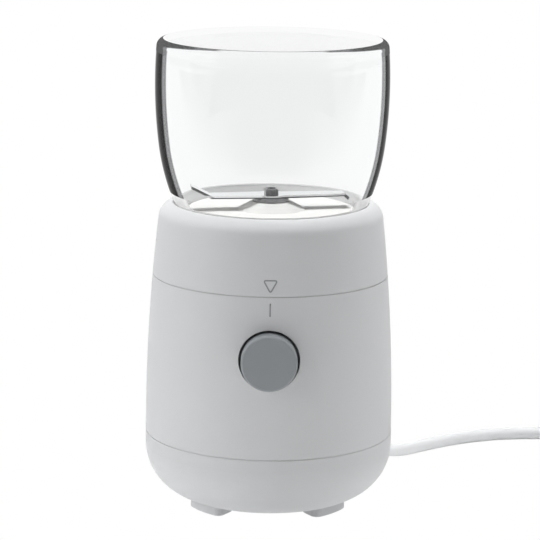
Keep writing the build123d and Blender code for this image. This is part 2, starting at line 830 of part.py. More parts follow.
# Blade spindle: a plain shaft with a smaller stud that carries disc, blade and nut
hub_disc_z = boss_top_z + seat_gap
blade_z = hub_disc_z + hub_disc_height
nut_z = blade_z + blade_thickness
thrust_washer_z = hub_bottom_z - running_gap - thrust_washer_height
driven_disc_z = thrust_washer_z - coupling_disc
with BuildPart() as blade_shaft:
    with BuildSketch(Plane.XY.offset(driven_disc_z)):
        Circle(shaft_radius)
    extrude(amount=hub_disc_z - driven_disc_z)
    with BuildSketch(Plane.XY.offset(hub_disc_z)):
        Circle(stud_radius)
    extrude(amount=nut_z + nut_height - nut_edge - hub_disc_z)
blade_shaft.part.label = "blade_shaft"
export_step(blade_shaft.part, "parts/blade_shaft.step")

# Dished disc under the blade that keeps grounds off the seal
with BuildPart() as hub_disc:
    with BuildSketch(Plane.XY.offset(hub_disc_z)):
        Circle(hub_disc_radius)
        Circle(stud_radius + bond_gap, mode=Mode.SUBTRACT)
    extrude(amount=hub_disc_height)
    upper_rims = hub_disc.edges().filter_by(GeomType.CIRCLE).group_by(Axis.Z)[-1]
    chamfer(upper_rims.sort_by(SortBy.RADIUS)[-1], nut_edge)
hub_disc.part.label = "hub_disc"
export_step(hub_disc.part, "parts/hub_disc.step")

# Blade: a flat steel bar, one tip bent up and the other down, ground on both leading edges
blade_plane = Plane((0, 0, blade_z), x_dir=(*around(1, blade_turn), 0), z_dir=(0, 0, 1))
blade_side_plane = Plane((0, 0, blade_z), x_dir=blade_plane.x_dir, z_dir=blade_plane.y_dir * -1)
blade_left_flat = blade_left_reach - blade_left_tip
blade_right_flat = blade_right_reach - blade_right_tip
with BuildPart() as blade:
    with BuildSketch(blade_side_plane):
        with BuildLine():
            Polyline(
                (-blade_left_reach, blade_left_rise),
                (-blade_left_flat, 0),
                (blade_right_flat, 0),
                (blade_right_reach, -blade_right_fall),
                (blade_right_reach + blade_thickness / 2, blade_thickness - blade_right_fall),
                (blade_right_flat + blade_thickness / 2, blade_thickness),
                (-blade_left_flat, blade_thickness),
                (-blade_left_reach, blade_left_rise + blade_thickness),
                close=True,
            )
        make_face()
    extrude(amount=blade_root_width, both=True)
    with BuildSketch(blade_plane.offset(-overrun)):
        with BuildLine():
            Polyline(
                (-blade_left_reach, -blade_tip_width / 2),
                (0, -blade_root_width / 2),
                (blade_right_reach + blade_thickness, -blade_tip_width / 2),
                (blade_right_reach + blade_thickness, blade_tip_width / 2),
                (0, blade_root_width / 2),
                (-blade_left_reach, blade_tip_width / 2),
                close=True,
            )
        make_face()
        Circle(blade_eye_radius)
    extrude(amount=2 * overrun + blade_left_rise, mode=Mode.INTERSECT)
    with BuildSketch(blade_plane):
        Circle(stud_radius + bond_gap)
    extrude(amount=blade_thickness, mode=Mode.SUBTRACT)
    top_edges = blade.edges().filter_by(GeomType.LINE).filter_by(
        lambda edge: abs(edge.center().Z - nut_z) < bond_gap and edge.length > blade_root_width
    )
    chamfer([top_edges.sort_by(Axis.Y)[0], top_edges.sort_by(Axis.Y)[-1]], blade_grind)
blade.part.label = "blade"
export_step(blade.part, "parts/blade.step")

# Square nut on top of the blade
with BuildPart() as blade_nut:
    with BuildSketch(blade_plane.offset(blade_thickness)):
        Rectangle(nut_width, nut_width)
        Circle(stud_radius + bond_gap, mode=Mode.SUBTRACT)
    extrude(amount=nut_height)
    chamfer(blade_nut.faces().sort_by(Axis.Z)[-1].outer_wire().edges(), nut_edge)
blade_nut.part.label = "blade_nut"
export_step(blade_nut.part, "parts/blade_nut.step")

# Two sintered bushes in the floor's hub, with the shaft seal above them
shaft_seal_z = boss_top_z - shaft_seal_height
with BuildPart() as blade_bushes:
    for height in (hub_bottom_z, shaft_seal_z - bush_length):
        with BuildSketch(Plane.XY.offset(height)):
            Circle(bush_radius)
            Circle(shaft_radius + running_gap, mode=Mode.SUBTRACT)
        extrude(amount=bush_length)
blade_bushes.part.label = "blade_bushes"
export_step(blade_bushes.part, "parts/blade_bushes.step")

with BuildPart() as shaft_seal:
    with BuildSketch(Plane.XY.offset(shaft_seal_z)):
        Circle(bush_radius)
        Circle(shaft_radius + running_gap, mode=Mode.SUBTRACT)
    extrude(amount=shaft_seal_height)
shaft_seal.part.label = "shaft_seal"
export_step(shaft_seal.part, "parts/shaft_seal.step")

with BuildPart() as thrust_washer:
    with BuildSketch(Plane.XY.offset(thrust_washer_z)):
        Circle(thrust_washer_radius)
        Circle(shaft_radius + bond_gap, mode=Mode.SUBTRACT)
    extrude(amount=thrust_washer_height)
thrust_washer.part.label = "thrust_washer"
export_step(thrust_washer.part, "parts/thrust_washer.step")

# Driven half of the dog coupling, on the blade's shaft
driven_dog_z = driven_disc_z - dog_height
drive_dog_top_z = driven_disc_z - dog_end_gap
drive_disc_top_z = drive_dog_top_z - dog_height
drive_disc_z = drive_disc_top_z - coupling_disc
with BuildPart() as driven_coupling:
    with BuildSketch(Plane.XY.offset(driven_disc_z)):
        Circle(coupling_radius)
        Circle(shaft_radius + bond_gap, mode=Mode.SUBTRACT)
    extrude(amount=coupling_disc)
    for index in range(dog_count):
        with BuildSketch(Plane.XY.offset(driven_dog_z)):
            spot = (index + 0.5) * 360 / dog_count
            add(ring_sector(dog_inner_radius, dog_outer_radius, spot, dog_half_angle))
        extrude(amount=dog_height)
driven_coupling.part.label = "driven_coupling"
export_step(driven_coupling.part, "parts/driven_coupling.step")

# Drive half of the dog coupling, on the motor's shaft
with BuildPart() as drive_coupling:
    with BuildSketch(Plane.XY.offset(drive_disc_z)):
        Circle(coupling_radius)
        Circle(motor_shaft_radius + bond_gap, mode=Mode.SUBTRACT)
    extrude(amount=coupling_disc)
    for index in range(dog_count):
        with BuildSketch(Plane.XY.offset(drive_disc_top_z)):
            spot = index * 360 / dog_count
            add(ring_sector(dog_inner_radius, dog_outer_radius, spot, dog_half_angle))
        extrude(amount=dog_height)
drive_coupling.part.label = "drive_coupling"
export_step(drive_coupling.part, "parts/drive_coupling.step")

# Rubber mounts between the deck's bosses and the upper bridge
upper_bridge_top_z = mount_boss_z - mount_height
upper_bridge_z = upper_bridge_top_z - bridge_height
stator_top_z = upper_bridge_z - upper_leg
stator_z = stator_top_z - stator_height
lower_bridge_top_z = stator_z - lower_leg
lower_bridge_z = lower_bridge_top_z - bridge_height
with BuildPart() as motor_mounts:
    with BuildSketch(Plane.XY.offset(upper_bridge_top_z)):
        with Locations(*bolt_spots):
            Circle(mount_radius)
            Circle(bolt_radius + bond_gap, mode=Mode.SUBTRACT)
    extrude(amount=mount_height)
motor_mounts.part.label = "motor_mounts"
export_step(motor_mounts.part, "parts/motor_mounts.step")

with BuildPart() as motor_bolts:
    with BuildSketch(Plane.XY.offset(lower_bridge_z - bolt_head_height)):
        with Locations(*bolt_spots):
            RegularPolygon(bolt_head_radius, 6)
    extrude(amount=bolt_head_height)
    with BuildSketch(Plane.XY.offset(lower_bridge_z)):
        with Locations(*bolt_spots):
            Circle(bolt_radius)
    extrude(amount=mount_boss_z + mount_boss_height - seat_gap - lower_bridge_z)
motor_bolts.part.label = "motor_bolts"
export_step(motor_bolts.part, "parts/motor_bolts.step")

# Bearing bridges above and below the stator, standing off it on legs around the bolts
bridge_boss_height = bearing_height + bridge_boss_lip
bridge_length = bolt_spacing + bridge_width
brush_seat_reach = commutator_radius + brush_gap + brush_length + brush_spring_length + brush_holder_wall
with BuildPart() as upper_bridge:
    with BuildSketch(Plane.XY.offset(upper_bridge_z)):
        SlotOverall(bridge_length, bridge_width)
    extrude(amount=bridge_height)
    with BuildSketch(Plane.XY.offset(upper_bridge_top_z - bridge_boss_height)):
        Circle(bridge_boss_radius)
    extrude(amount=bridge_boss_height)
    with BuildSketch(Plane.XY.offset(stator_top_z)):
        with Locations(*bolt_spots):
            Circle(bridge_leg_radius)
    extrude(amount=upper_leg)
    with BuildSketch(Plane.XY.offset(upper_bridge_top_z - bridge_boss_height)):
        Circle(bearing_radius + bond_gap)
    extrude(amount=bearing_height, mode=Mode.SUBTRACT)
    with BuildSketch(Plane.XY.offset(stator_top_z)):
        Circle(bearing_radius - bridge_boss_lip)
        with Locations(*bolt_spots):
            Circle(bolt_radius + bond_gap)
    extrude(amount=upper_bridge_top_z - stator_top_z, mode=Mode.SUBTRACT)
upper_bridge.part.label = "upper_bridge"
export_step(upper_bridge.part, "parts/upper_bridge.step")

with BuildPart() as lower_bridge:
    with BuildSketch(Plane.XY.offset(lower_bridge_z)):
        SlotOverall(bridge_length, bridge_width)
        Rectangle(bridge_width, 2 * brush_seat_reach)
    extrude(amount=bridge_height)
    with BuildSketch(Plane.XY.offset(lower_bridge_z)):
        Circle(bridge_boss_radius)
    extrude(amount=bridge_boss_height)
    with BuildSketch(Plane.XY.offset(lower_bridge_top_z)):
        with Locations(*bolt_spots):
            Circle(bridge_leg_radius)
    extrude(amount=lower_leg)
    with BuildSketch(Plane.XY.offset(lower_bridge_z + bridge_boss_lip)):
        Circle(bearing_radius + bond_gap)
    extrude(amount=bearing_height, mode=Mode.SUBTRACT)
    with BuildSketch(Plane.XY.offset(lower_bridge_z)):
        Circle(bearing_radius - bridge_boss_lip)
        with Locations(*bolt_spots):
            Circle(bolt_radius + bond_gap)
    extrude(amount=stator_z - lower_bridge_z, mode=Mode.SUBTRACT)
lower_bridge.part.label = "lower_bridge"
export_step(lower_bridge.part, "parts/lower_bridge.step")

# Ball bearings, drawn as closed rings
bearing_heights = {
    "upper_bearing": upper_bridge_top_z - bridge_boss_height,
    "lower_bearing": lower_bridge_z + bridge_boss_lip,
}
for name, height in bearing_heights.items():
    with BuildPart() as bearing:
        with BuildSketch(Plane.XY.offset(height)):
            Circle(bearing_radius)
            Circle(motor_shaft_radius + running_gap, mode=Mode.SUBTRACT)
        extrude(amount=bearing_height)
    bearing.part.label = name
    export_step(bearing.part, f"parts/{name}.step")

# Stator: a stack of plates with two poles, front and back
with BuildPart() as stator_core:
    with BuildSketch(Plane.XY.offset(stator_z)):
        RectangleRounded(stator_length, stator_depth, stator_corner)
        Rectangle(stator_window_length, stator_window_depth, mode=Mode.SUBTRACT)
        for side in (-1, 1):
            with Locations((0, side * (stator_bore + stator_window_depth / 2) / 2)):
                Rectangle(pole_width, stator_window_depth / 2 - stator_bore + 2 * root_depth)
            add(ring_sector(stator_bore, stator_bore + pole_shoe_wall, side * 90, pole_shoe_half_angle))
        Circle(stator_bore, mode=Mode.SUBTRACT)
        with Locations(*bolt_spots):
            Circle(bolt_radius + bond_gap, mode=Mode.SUBTRACT)
    extrude(amount=stator_height)
stator_core.part.label = "stator_core"
export_step(stator_core.part, "parts/stator_core.step")

# Field coils: a rectangular winding round the neck of each pole
coil_start_y = stator_bore + pole_shoe_wall + coil_gap
coil_depth = stator_window_depth / 2 - coil_gap - coil_start_y
stator_middle_z = (stator_z + stator_top_z) / 2
with BuildPart() as field_coils:
    for side in (-1, 1):
        neck_face = Plane((0, side * coil_start_y, stator_middle_z), x_dir=(1, 0, 0), z_dir=(0, side, 0))
        with BuildSketch(neck_face):
            RectangleRounded(
                pole_width + 2 * coil_gap + 2 * coil_width,
                stator_height + 2 * coil_gap + 2 * coil_width,
                coil_width,
            )
            Rectangle(pole_width + 2 * coil_gap, stator_height + 2 * coil_gap, mode=Mode.SUBTRACT)
        extrude(amount=coil_depth)
field_coils.part.label = "field_coils"
export_step(field_coils.part, "parts/field_coils.step")

# Motor shaft, from the fan's nose up into the drive coupling
fan_top_z = lower_bridge_z - bolt_head_height - fan_clearance
fan_z = fan_top_z - fan_height
shaft_bore = motor_shaft_radius + bond_gap
with BuildPart() as motor_shaft:
    with BuildSketch(Plane.XY.offset(fan_z - shaft_tail)):
        Circle(motor_shaft_radius)
    extrude(amount=drive_disc_top_z - fan_z + shaft_tail)
motor_shaft.part.label = "motor_shaft"
export_step(motor_shaft.part, "parts/motor_shaft.step")

# Armature: slotted plates with the winding's heads above and below
armature_radius = stator_bore - armature_air_gap
with BuildPart() as armature_core:
    with BuildSketch(Plane.XY.offset(stator_z)):
        Circle(armature_radius)
        Circle(shaft_bore, mode=Mode.SUBTRACT)
        with PolarLocations(armature_radius - armature_slot_depth / 2, armature_slots):
            Rectangle(armature_slot_depth, armature_slot_width, mode=Mode.SUBTRACT)
        with PolarLocations(armature_radius, armature_slots):
            Circle(armature_slot_width / 2, mode=Mode.SUBTRACT)
    extrude(amount=stator_height)
armature_core.part.label = "armature_core"
export_step(armature_core.part, "parts/armature_core.step")

with BuildPart() as armature_windings:
    for height in (stator_z - winding_rise, stator_top_z):
        with BuildSketch(Plane.XY.offset(height)):
            Circle(winding_radius)
            Circle(winding_inner_radius, mode=Mode.SUBTRACT)
        extrude(amount=winding_rise)
armature_windings.part.label = "armature_windings"
export_step(armature_windings.part, "parts/armature_windings.step")

# Commutator, cut into bars
commutator_z = stator_z - winding_rise - commutator_length
with BuildPart() as commutator:
    with BuildSketch(Plane.XY.offset(commutator_z)):
        Circle(commutator_radius)
        Circle(shaft_bore, mode=Mode.SUBTRACT)
        with PolarLocations(commutator_radius, armature_slots):
            Rectangle(2 * commutator_slot_depth, commutator_slot_width, mode=Mode.SUBTRACT)
    extrude(amount=commutator_length)
commutator.part.label = "commutator"
export_step(commutator.part, "parts/commutator.step")

# Cooling fan: radial vanes hanging under a disc
with BuildPart() as cooling_fan:
    with BuildSketch(Plane.XY.offset(fan_z)):
        Circle(fan_hub_radius)
        with PolarLocations((fan_vane_inner_radius + fan_radius) / 2, fan_vanes):
            Rectangle(fan_radius - fan_vane_inner_radius, fan_vane_wall)
    extrude(amount=fan_height)
    with BuildSketch(Plane.XY.offset(fan_top_z - fan_disc)):
        Circle(fan_radius)
    extrude(amount=fan_disc)
    with BuildSketch(Plane.XY.offset(fan_z)):
        Circle(shaft_bore)
    extrude(amount=fan_height, mode=Mode.SUBTRACT)
cooling_fan.part.label = "cooling_fan"
export_step(cooling_fan.part, "parts/cooling_fan.step")

# Brush gear: two boxed carbon brushes on the lower bridge, each pushed in by a small spring
brush_z = commutator_z + brush_gap + brush_width / 2
brush_y = commutator_radius + brush_gap
brush_back_y = brush_y + brush_length
brush_channel = brush_width + 2 * running_gap
brush_holder_width = brush_channel + 2 * brush_holder_wall
brush_holder_y = bridge_boss_radius + slip_gap
with BuildPart() as brush_holders:
    for side in (-1, 1):
        foot_z = lower_bridge_top_z
        holder_top_z = brush_z + brush_holder_width / 2
        holder_face = Plane((0, side * brush_holder_y, 0), x_dir=(1, 0, 0), z_dir=(0, side, 0))
        with BuildSketch(holder_face):
            with Locations((0, -side * (foot_z + holder_top_z) / 2)):
                Rectangle(brush_holder_width, holder_top_z - foot_z)
            with Locations((0, -side * brush_z)):
                Rectangle(brush_channel, brush_channel, mode=Mode.SUBTRACT)
        extrude(amount=brush_seat_reach - brush_holder_y)
        with BuildSketch(Plane((0, side * brush_seat_reach, brush_z), x_dir=(1, 0, 0), z_dir=(0, side, 0))):
            Rectangle(brush_holder_width, brush_holder_width)
        extrude(amount=-brush_holder_wall)
brush_holders.part.label = "brush_holders"
export_step(brush_holders.part, "parts/brush_holders.step")

with BuildPart() as carbon_brushes:
    for side in (-1, 1):
        with BuildSketch(Plane((0, side * brush_y, brush_z), x_dir=(1, 0, 0), z_dir=(0, side, 0))):
            Rectangle(brush_width, brush_width)
        extrude(amount=brush_length)
carbon_brushes.part.label = "carbon_brushes"
export_step(carbon_brushes.part, "parts/carbon_brushes.step")

with BuildPart() as brush_springs:
    for side in (-1, 1):
        seat = Plane(
            (0, side * (brush_back_y + brush_spring_wire), brush_z),
            x_dir=(1, 0, 0),
            z_dir=(0, side, 0),
        )
        with BuildLine() as wire:
            spring_path(
                seat, brush_spring_radius, brush_spring_length - 2 * brush_spring_wire, brush_spring_turns
            )
        with BuildSketch(Plane(wire.line @ 0, z_dir=wire.line % 0)):
            Circle(brush_spring_wire / 2)
        sweep()
brush_springs.part.label = "brush_springs"
export_step(brush_springs.part, "parts/brush_springs.step")

# Push button: a hollow cap whose flange is kept in by the housing's guide ring
button_face_y = -side_radius(button_z) - button_proud
button_floor_y = button_face_y + button_wall
plunger_y = carrier_y - plunger_proud


def across_y(position):
    """A plane square to the button's travel, with its normal pointing into the housing."""
    return Plane((0, position, button_z), x_dir=(1, 0, 0), z_dir=(0, 1, 0))


with BuildPart() as button_cap:
    with BuildSketch(across_y(button_face_y)):
        Circle(button_radius)
    extrude(amount=button_flange_back_y - button_face_y)
    fillet(button_cap.faces().sort_by(Axis.Y)[0].edges(), button_edge)
    with BuildSketch(across_y(button_flange_y)):
        Circle(button_radius + button_flange_depth)
    extrude(amount=button_flange_height)
    with BuildSketch(across_y(button_floor_y)):
        Circle(button_radius - button_wall)
    extrude(amount=button_flange_back_y - button_floor_y, mode=Mode.SUBTRACT)
    with BuildSketch(across_y(button_floor_y - root_depth)):
        Circle(button_stem_radius)
    extrude(amount=plunger_y - seat_gap - button_floor_y + root_depth)
button_cap.part.label = "button_cap"
export_step(button_cap.part, "parts/button_cap.step")

with BuildPart() as button_spring:
    with BuildLine() as wire:
        spring_path(
            across_y(button_floor_y + button_spring_wire),
            button_spring_radius,
            carrier_y - button_floor_y - 2 * button_spring_wire,
            button_spring_turns,
        )
    with BuildSketch(Plane(wire.line @ 0, z_dir=wire.line % 0)):
        Circle(button_spring_wire / 2)
    sweep()
button_spring.part.label = "button_spring"
export_step(button_spring.part, "parts/button_spring.step")

# Plate that carries the switch, screwed to the housing's two posts
carrier_back_y = carrier_y + carrier_plate
screw_pair = [(-carrier_post_spacing / 2, 0), (carrier_post_spacing / 2, 0)]
with BuildPart() as switch_carrier:
    with BuildSketch(across_y(carrier_y)):
        RectangleRounded(carrier_length, carrier_width, carrier_corner)
        Circle(carrier_hole_radius, mode=Mode.SUBTRACT)
        with Locations(*screw_pair):
            Circle(carrier_screw_radius + slip_gap, mode=Mode.SUBTRACT)
    extrude(amount=carrier_plate)
switch_carrier.part.label = "switch_carrier"
export_step(switch_carrier.part, "parts/switch_carrier.step")

with BuildPart() as carrier_screws:
    with BuildSketch(across_y(carrier_back_y)):
        with Locations(*screw_pair):
            Circle(carrier_head_radius)
    extrude(amount=carrier_head_height)
    with BuildSketch(across_y(carrier_back_y)):
        with Locations(*screw_pair):
            Circle(carrier_screw_radius)
    extrude(amount=-(carrier_plate + carrier_screw_grip - seat_gap))
carrier_screws.part.label = "carrier_screws"
export_step(carrier_screws.part, "parts/carrier_screws.step")

# Run switch behind the plate, with its plunger in line with the button's stem
plunger_end_y = plunger_y + plunger_length
with BuildPart() as run_switch:
    with BuildSketch(across_y(carrier_back_y)):
        RectangleRounded(switch_length, switch_width, switch_edge)
    extrude(amount=switch_depth)
    with BuildSketch(across_y(carrier_back_y)):
        Circle(plunger_radius + running_gap)
    extrude(amount=plunger_end_y + button_travel + seat_gap - carrier_back_y, mode=Mode.SUBTRACT)
run_switch.part.label = "run_switch"
export_step(run_switch.part, "parts/run_switch.step")

with BuildPart() as switch_plunger:
    with BuildSketch(across_y(plunger_y)):
        Circle(plunger_radius)
    extrude(amount=plunger_length)
switch_plunger.part.label = "switch_plunger"
export_step(switch_plunger.part, "parts/switch_plunger.step")

with BuildPart() as switch_terminals:
    with BuildSketch(Plane.XY.offset(button_z - switch_width / 2)):
        with Locations((0, carrier_back_y + switch_depth / 2)):
            with GridLocations(terminal_spacing, 0, 2, 1):
                Rectangle(terminal_wall, terminal_width)
    extrude(amount=-terminal_reach)
switch_terminals.part.label = "switch_terminals"
export_step(switch_terminals.part, "parts/switch_terminals.step")

# Interlock: a sprung pin under the collar's ramp, over a small switch
guide_bottom_z = deck_bottom_z - interlock_guide_length
interlock_flange_top_z = deck_bottom_z - interlock_travel - interlock_headroom
interlock_flange_z = interlock_flange_top_z - interlock_flange_height
with BuildPart() as interlock_switch:
    tangent = around(1, interlock_angle + 90)
    with BuildSketch(Plane((*interlock_spot, guide_bottom_z), x_dir=(*tangent, 0), z_dir=(0, 0, 1))):
        RectangleRounded(interlock_switch_length, interlock_switch_width, switch_edge)
    extrude(amount=-interlock_switch_height)
    with BuildSketch(Plane((*interlock_spot, guide_bottom_z))):
        Circle(interlock_tail_radius + seat_gap)
    extrude(amount=-interlock_tail_length, mode=Mode.SUBTRACT)
interlock_switch.part.label = "interlock_switch"
export_step(interlock_switch.part, "parts/interlock_switch.step")

with BuildPart() as interlock_plunger:
    with BuildSketch(Plane((*interlock_spot, interlock_flange_z))):
        Circle(interlock_flange_radius)
    extrude(amount=interlock_flange_height)
    with BuildSketch(Plane((*interlock_spot, interlock_flange_top_z))):
        Circle(interlock_stem_radius)
    extrude(amount=ramp_low_z - 2 * seat_gap - interlock_flange_top_z)
    fillet(interlock_plunger.faces().sort_by(Axis.Z)[-1].edges(), root_depth)
    with BuildSketch(Plane((*interlock_spot, interlock_flange_z))):
        Circle(interlock_tail_radius)
    extrude(amount=-interlock_tail_length)
interlock_plunger.part.label = "interlock_plunger"
export_step(interlock_plunger.part, "parts/interlock_plunger.step")

with BuildPart() as interlock_spring:
    with BuildLine() as wire:
        spring_path(
            Plane((*interlock_spot, guide_bottom_z + interlock_spring_wire)),
            interlock_spring_radius,
            interlock_flange_z - guide_bottom_z - 2 * interlock_spring_wire,
            interlock_spring_turns,
        )
    with BuildSketch(Plane(wire.line @ 0, z_dir=wire.line % 0)):
        Circle(interlock_spring_wire / 2)
    sweep()
interlock_spring.part.label = "interlock_spring"
export_step(interlock_spring.part, "parts/interlock_spring.step")

# Strain relief: flanged behind the cover's boss, ribbed and tapering outside
relief_straight = relief_length / (relief_rib_count + 2)
rib_step = (relief_length - relief_straight) / (relief_rib_count + 1)
cord_bore = cord_radius + bond_gap
with BuildPart() as strain_relief:
    with BuildSketch(outlet_plane.offset(-outlet_boss_depth - relief_flange_height)):
        Circle(relief_flange_radius)
    extrude(amount=relief_flange_height)
    with BuildSketch(outlet_plane.offset(-outlet_boss_depth)):
        Circle(relief_root_radius)
    extrude(amount=outlet_boss_depth + relief_straight)
    with BuildSketch(outlet_plane.offset(relief_straight)):
        Circle(relief_root_radius)
    with BuildSketch(outlet_plane.offset(relief_length)):
        Circle(relief_tip_radius)
    loft()
    for index in range(1, relief_rib_count + 1):
        place_share = index / (relief_rib_count + 1)
        neck = relief_root_radius + (relief_tip_radius - relief_root_radius) * place_share - relief_rib_depth
        with BuildSketch(outlet_plane.offset(relief_straight + rib_step * index)):
            Circle(relief_root_radius + overrun)
            Circle(max(neck, cord_radius + relief_rib_depth / 2), mode=Mode.SUBTRACT)
        extrude(amount=-relief_rib_width, mode=Mode.SUBTRACT)
    with BuildSketch(outlet_plane.offset(-outlet_boss_depth - relief_flange_height)):
        Circle(cord_bore)
    extrude(amount=outlet_boss_depth + relief_flange_height + relief_length, mode=Mode.SUBTRACT)
strain_relief.part.label = "strain_relief"
export_step(strain_relief.part, "parts/strain_relief.step")

with BuildPart() as inner_cord:
    with BuildSketch(outlet_plane.offset(-inner_cord_length)):
        Circle(cord_radius)
    extrude(amount=inner_cord_length + relief_length)
inner_cord.part.label = "inner_cord"
export_step(inner_cord.part, "parts/inner_cord.step")

# Mains cord: from the relief over the table to the coil
cord_start = outlet_point + outlet_direction * relief_length
cord_points = [cord_start, cord_start + outlet_direction * cord_lead]
cord_points += [Vector(*point) for point in cord_route]
cord_radii = route_radii(cord_points)
print("power_cord radii", [round(radius, 1) for radius in cord_radii])
with BuildPart() as power_cord:
    with BuildLine() as route:
        FilletPolyline(*cord_points, radius=cord_radii)
    with BuildSketch(Plane(route.line @ 0, z_dir=route.line % 0)):
        Circle(cord_radius)
    sweep()
power_cord.part.label = "power_cord"
export_step(power_cord.part, "parts/power_cord.step")
cord_length = route.wire().length
cord_section = pi * cord_radius**2
print("power_cord volume over section by length", power_cord.part.volume / (cord_section * cord_length))

# Coil of the spare cord: half turns that spiral in, climb one layer and spiral out again
coil_heading = (cord_points[-1] - cord_points[-2]).normalized()
coil_across = Vector(coil_heading.Y, -coil_heading.X, 0)
coil_start = cord_points[-1] + coil_heading * 2 * cord_radius
coil_radii = []
for index in range(coil_half_turns):
    inward = min(index, coil_half_turns - index)
    coil_radii.append(coil_first_radius - inward * coil_pitch / 2)
with BuildPart() as cord_coil:
    with BuildLine() as winding:
        Line(cord_points[-1], coil_start)
        here = coil_start
        for index, radius in enumerate(coil_radii):
            sign = 1 if index % 2 == 0 else -1
            there = here + coil_across * (2 * radius * sign)
            if index == coil_half_turns // 2:
                there += Vector(0, 0, coil_rise)
            half_turn(here, there, coil_heading * sign)
            here = there
        coil_end = here + coil_heading * 2 * cord_radius
        Line(here, coil_end)
    with BuildSketch(Plane(cord_points[-1], z_dir=coil_heading)):
        Circle(cord_radius)
    sweep()
cord_coil.part.label = "cord_coil"
export_step(cord_coil.part, "parts/cord_coil.step")
coil_length = winding.wire().length
cord_length += coil_length
print("cord_coil least gap", least_gap(winding.wire(), 2 * cord_radius, 900))
print("cord_coil volume over section by length", cord_coil.part.volume / (cord_section * coil_length))

# Tail of the cord, from the coil down to the plug
tail_points = [coil_end, coil_end + coil_heading * tail_lead]
tail_points += [Vector(*point) for point in tail_route]
tail_radii = route_radii(tail_points)
print("cord_tail radii", [round(radius, 1) for radius in tail_radii])
with BuildPart() as cord_tail:
    with BuildLine() as route:
        FilletPolyline(*tail_points, radius=tail_radii)
    with BuildSketch(Plane(route.line @ 0, z_dir=route.line % 0)):
        Circle(cord_radius)
    sweep()
cord_tail.part.label = "cord_tail"
export_step(cord_tail.part, "parts/cord_tail.step")
cord_length += route.wire().length + relief_length
print("cord length", cord_length)

# Tie: a strap round the four strands on the side of the coil away from the plug
tie_outer = coil_radii[1] + cord_radius + seat_gap
tie_inner = coil_radii[3] - cord_radius - tie_room
tie_middle = coil_start + coil_across * coil_first_radius - coil_heading * ((tie_outer + tie_inner) / 2)
tie_middle += Vector(0, 0, coil_rise / 2)
tie_plane = Plane(tie_middle - coil_across * (tie_width / 2), x_dir=coil_heading, z_dir=coil_across)
tie_length = tie_outer - tie_inner
tie_height = coil_rise + 2 * cord_radius + slip_gap
with BuildPart() as cord_tie:
    with BuildSketch(tie_plane):
        RectangleRounded(tie_length + 2 * tie_wall, tie_height + 2 * tie_wall, tie_corner)
        RectangleRounded(tie_length, tie_height, tie_corner - tie_wall, mode=Mode.SUBTRACT)
    extrude(amount=tie_width)
cord_tie.part.label = "cord_tie"
export_step(cord_tie.part, "parts/cord_tie.step")

# Plug: a flat moulded body that widens from the cord, with two round pins
plug_heading = (tail_points[-1] - tail_points[-2]).normalized()
plug_across = Vector(plug_heading.Y, -plug_heading.X, 0)
plug_plane = Plane(tail_points[-1], x_dir=plug_across, z_dir=plug_heading)
with BuildPart() as plug_body:
    with BuildSketch(plug_plane):
        Circle(plug_neck_radius)
    with BuildSketch(plug_plane.offset(plug_length * plug_taper_share)):
        RectangleRounded(plug_width, plug_thickness, plug_edge)
    loft()
    with BuildSketch(plug_plane.offset(plug_length * plug_taper_share)):
        RectangleRounded(plug_width, plug_thickness, plug_edge)
    extrude(amount=plug_length * (1 - plug_taper_share))
plug_body.part.label = "plug_body"
export_step(plug_body.part, "parts/plug_body.step")

with BuildPart() as plug_pins:
    with BuildSketch(plug_plane.offset(plug_length)):
        with GridLocations(pin_spacing, 0, 2, 1):
            Circle(pin_radius)
    extrude(amount=pin_length)
    pin_ends = plug_pins.faces().filter_by(GeomType.PLANE).sort_by(Axis(plug_plane.origin, plug_heading))
    fillet(pin_ends[-2:].edges(), pin_edge)
plug_pins.part.label = "plug_pins"
export_step(plug_pins.part, "parts/plug_pins.step")
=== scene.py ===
# %% [markdown]
# # A jar-topped coffee grinder
#
# This lesson dresses a small electric coffee grinder: a bowed body of pale grey plastic, a push button, a
# glass jar standing mouth down over a steel blade, and a mains cord. The solids arrive as a fixed frame in
# metres, so every new piece is made where the frame says, and all but the springs ride on one of its bodies.

# %% Load the frame
import json
import math

import bmesh
import bpy
from mathutils import Matrix, Vector


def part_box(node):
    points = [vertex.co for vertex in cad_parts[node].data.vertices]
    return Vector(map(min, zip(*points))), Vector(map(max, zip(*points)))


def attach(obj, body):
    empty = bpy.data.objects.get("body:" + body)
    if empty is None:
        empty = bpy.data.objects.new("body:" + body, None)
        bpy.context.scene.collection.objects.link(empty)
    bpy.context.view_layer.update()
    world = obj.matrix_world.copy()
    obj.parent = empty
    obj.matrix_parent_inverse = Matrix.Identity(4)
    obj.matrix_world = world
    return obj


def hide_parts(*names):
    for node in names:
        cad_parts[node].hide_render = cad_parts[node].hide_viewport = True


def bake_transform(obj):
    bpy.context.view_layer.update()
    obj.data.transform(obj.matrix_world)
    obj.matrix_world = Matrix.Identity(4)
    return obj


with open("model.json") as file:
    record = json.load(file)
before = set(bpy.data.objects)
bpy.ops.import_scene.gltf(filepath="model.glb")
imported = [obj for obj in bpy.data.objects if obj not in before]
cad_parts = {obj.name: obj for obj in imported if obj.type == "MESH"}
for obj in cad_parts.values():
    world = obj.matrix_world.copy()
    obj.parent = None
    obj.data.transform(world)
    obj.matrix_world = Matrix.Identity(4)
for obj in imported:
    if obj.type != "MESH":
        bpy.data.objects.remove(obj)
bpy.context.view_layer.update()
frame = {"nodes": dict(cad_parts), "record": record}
nodes = frame["nodes"]
MM = 0.001

# %% [markdown]
# ## Camera
#
# A packshot is taken with a long lens from a little above, which keeps the sides of the body almost parallel.
# Height, tilt and focal length follow the ellipses that the seams and the jar's top draw in the picture, and
# the small roll follows the lean of the body's axis.

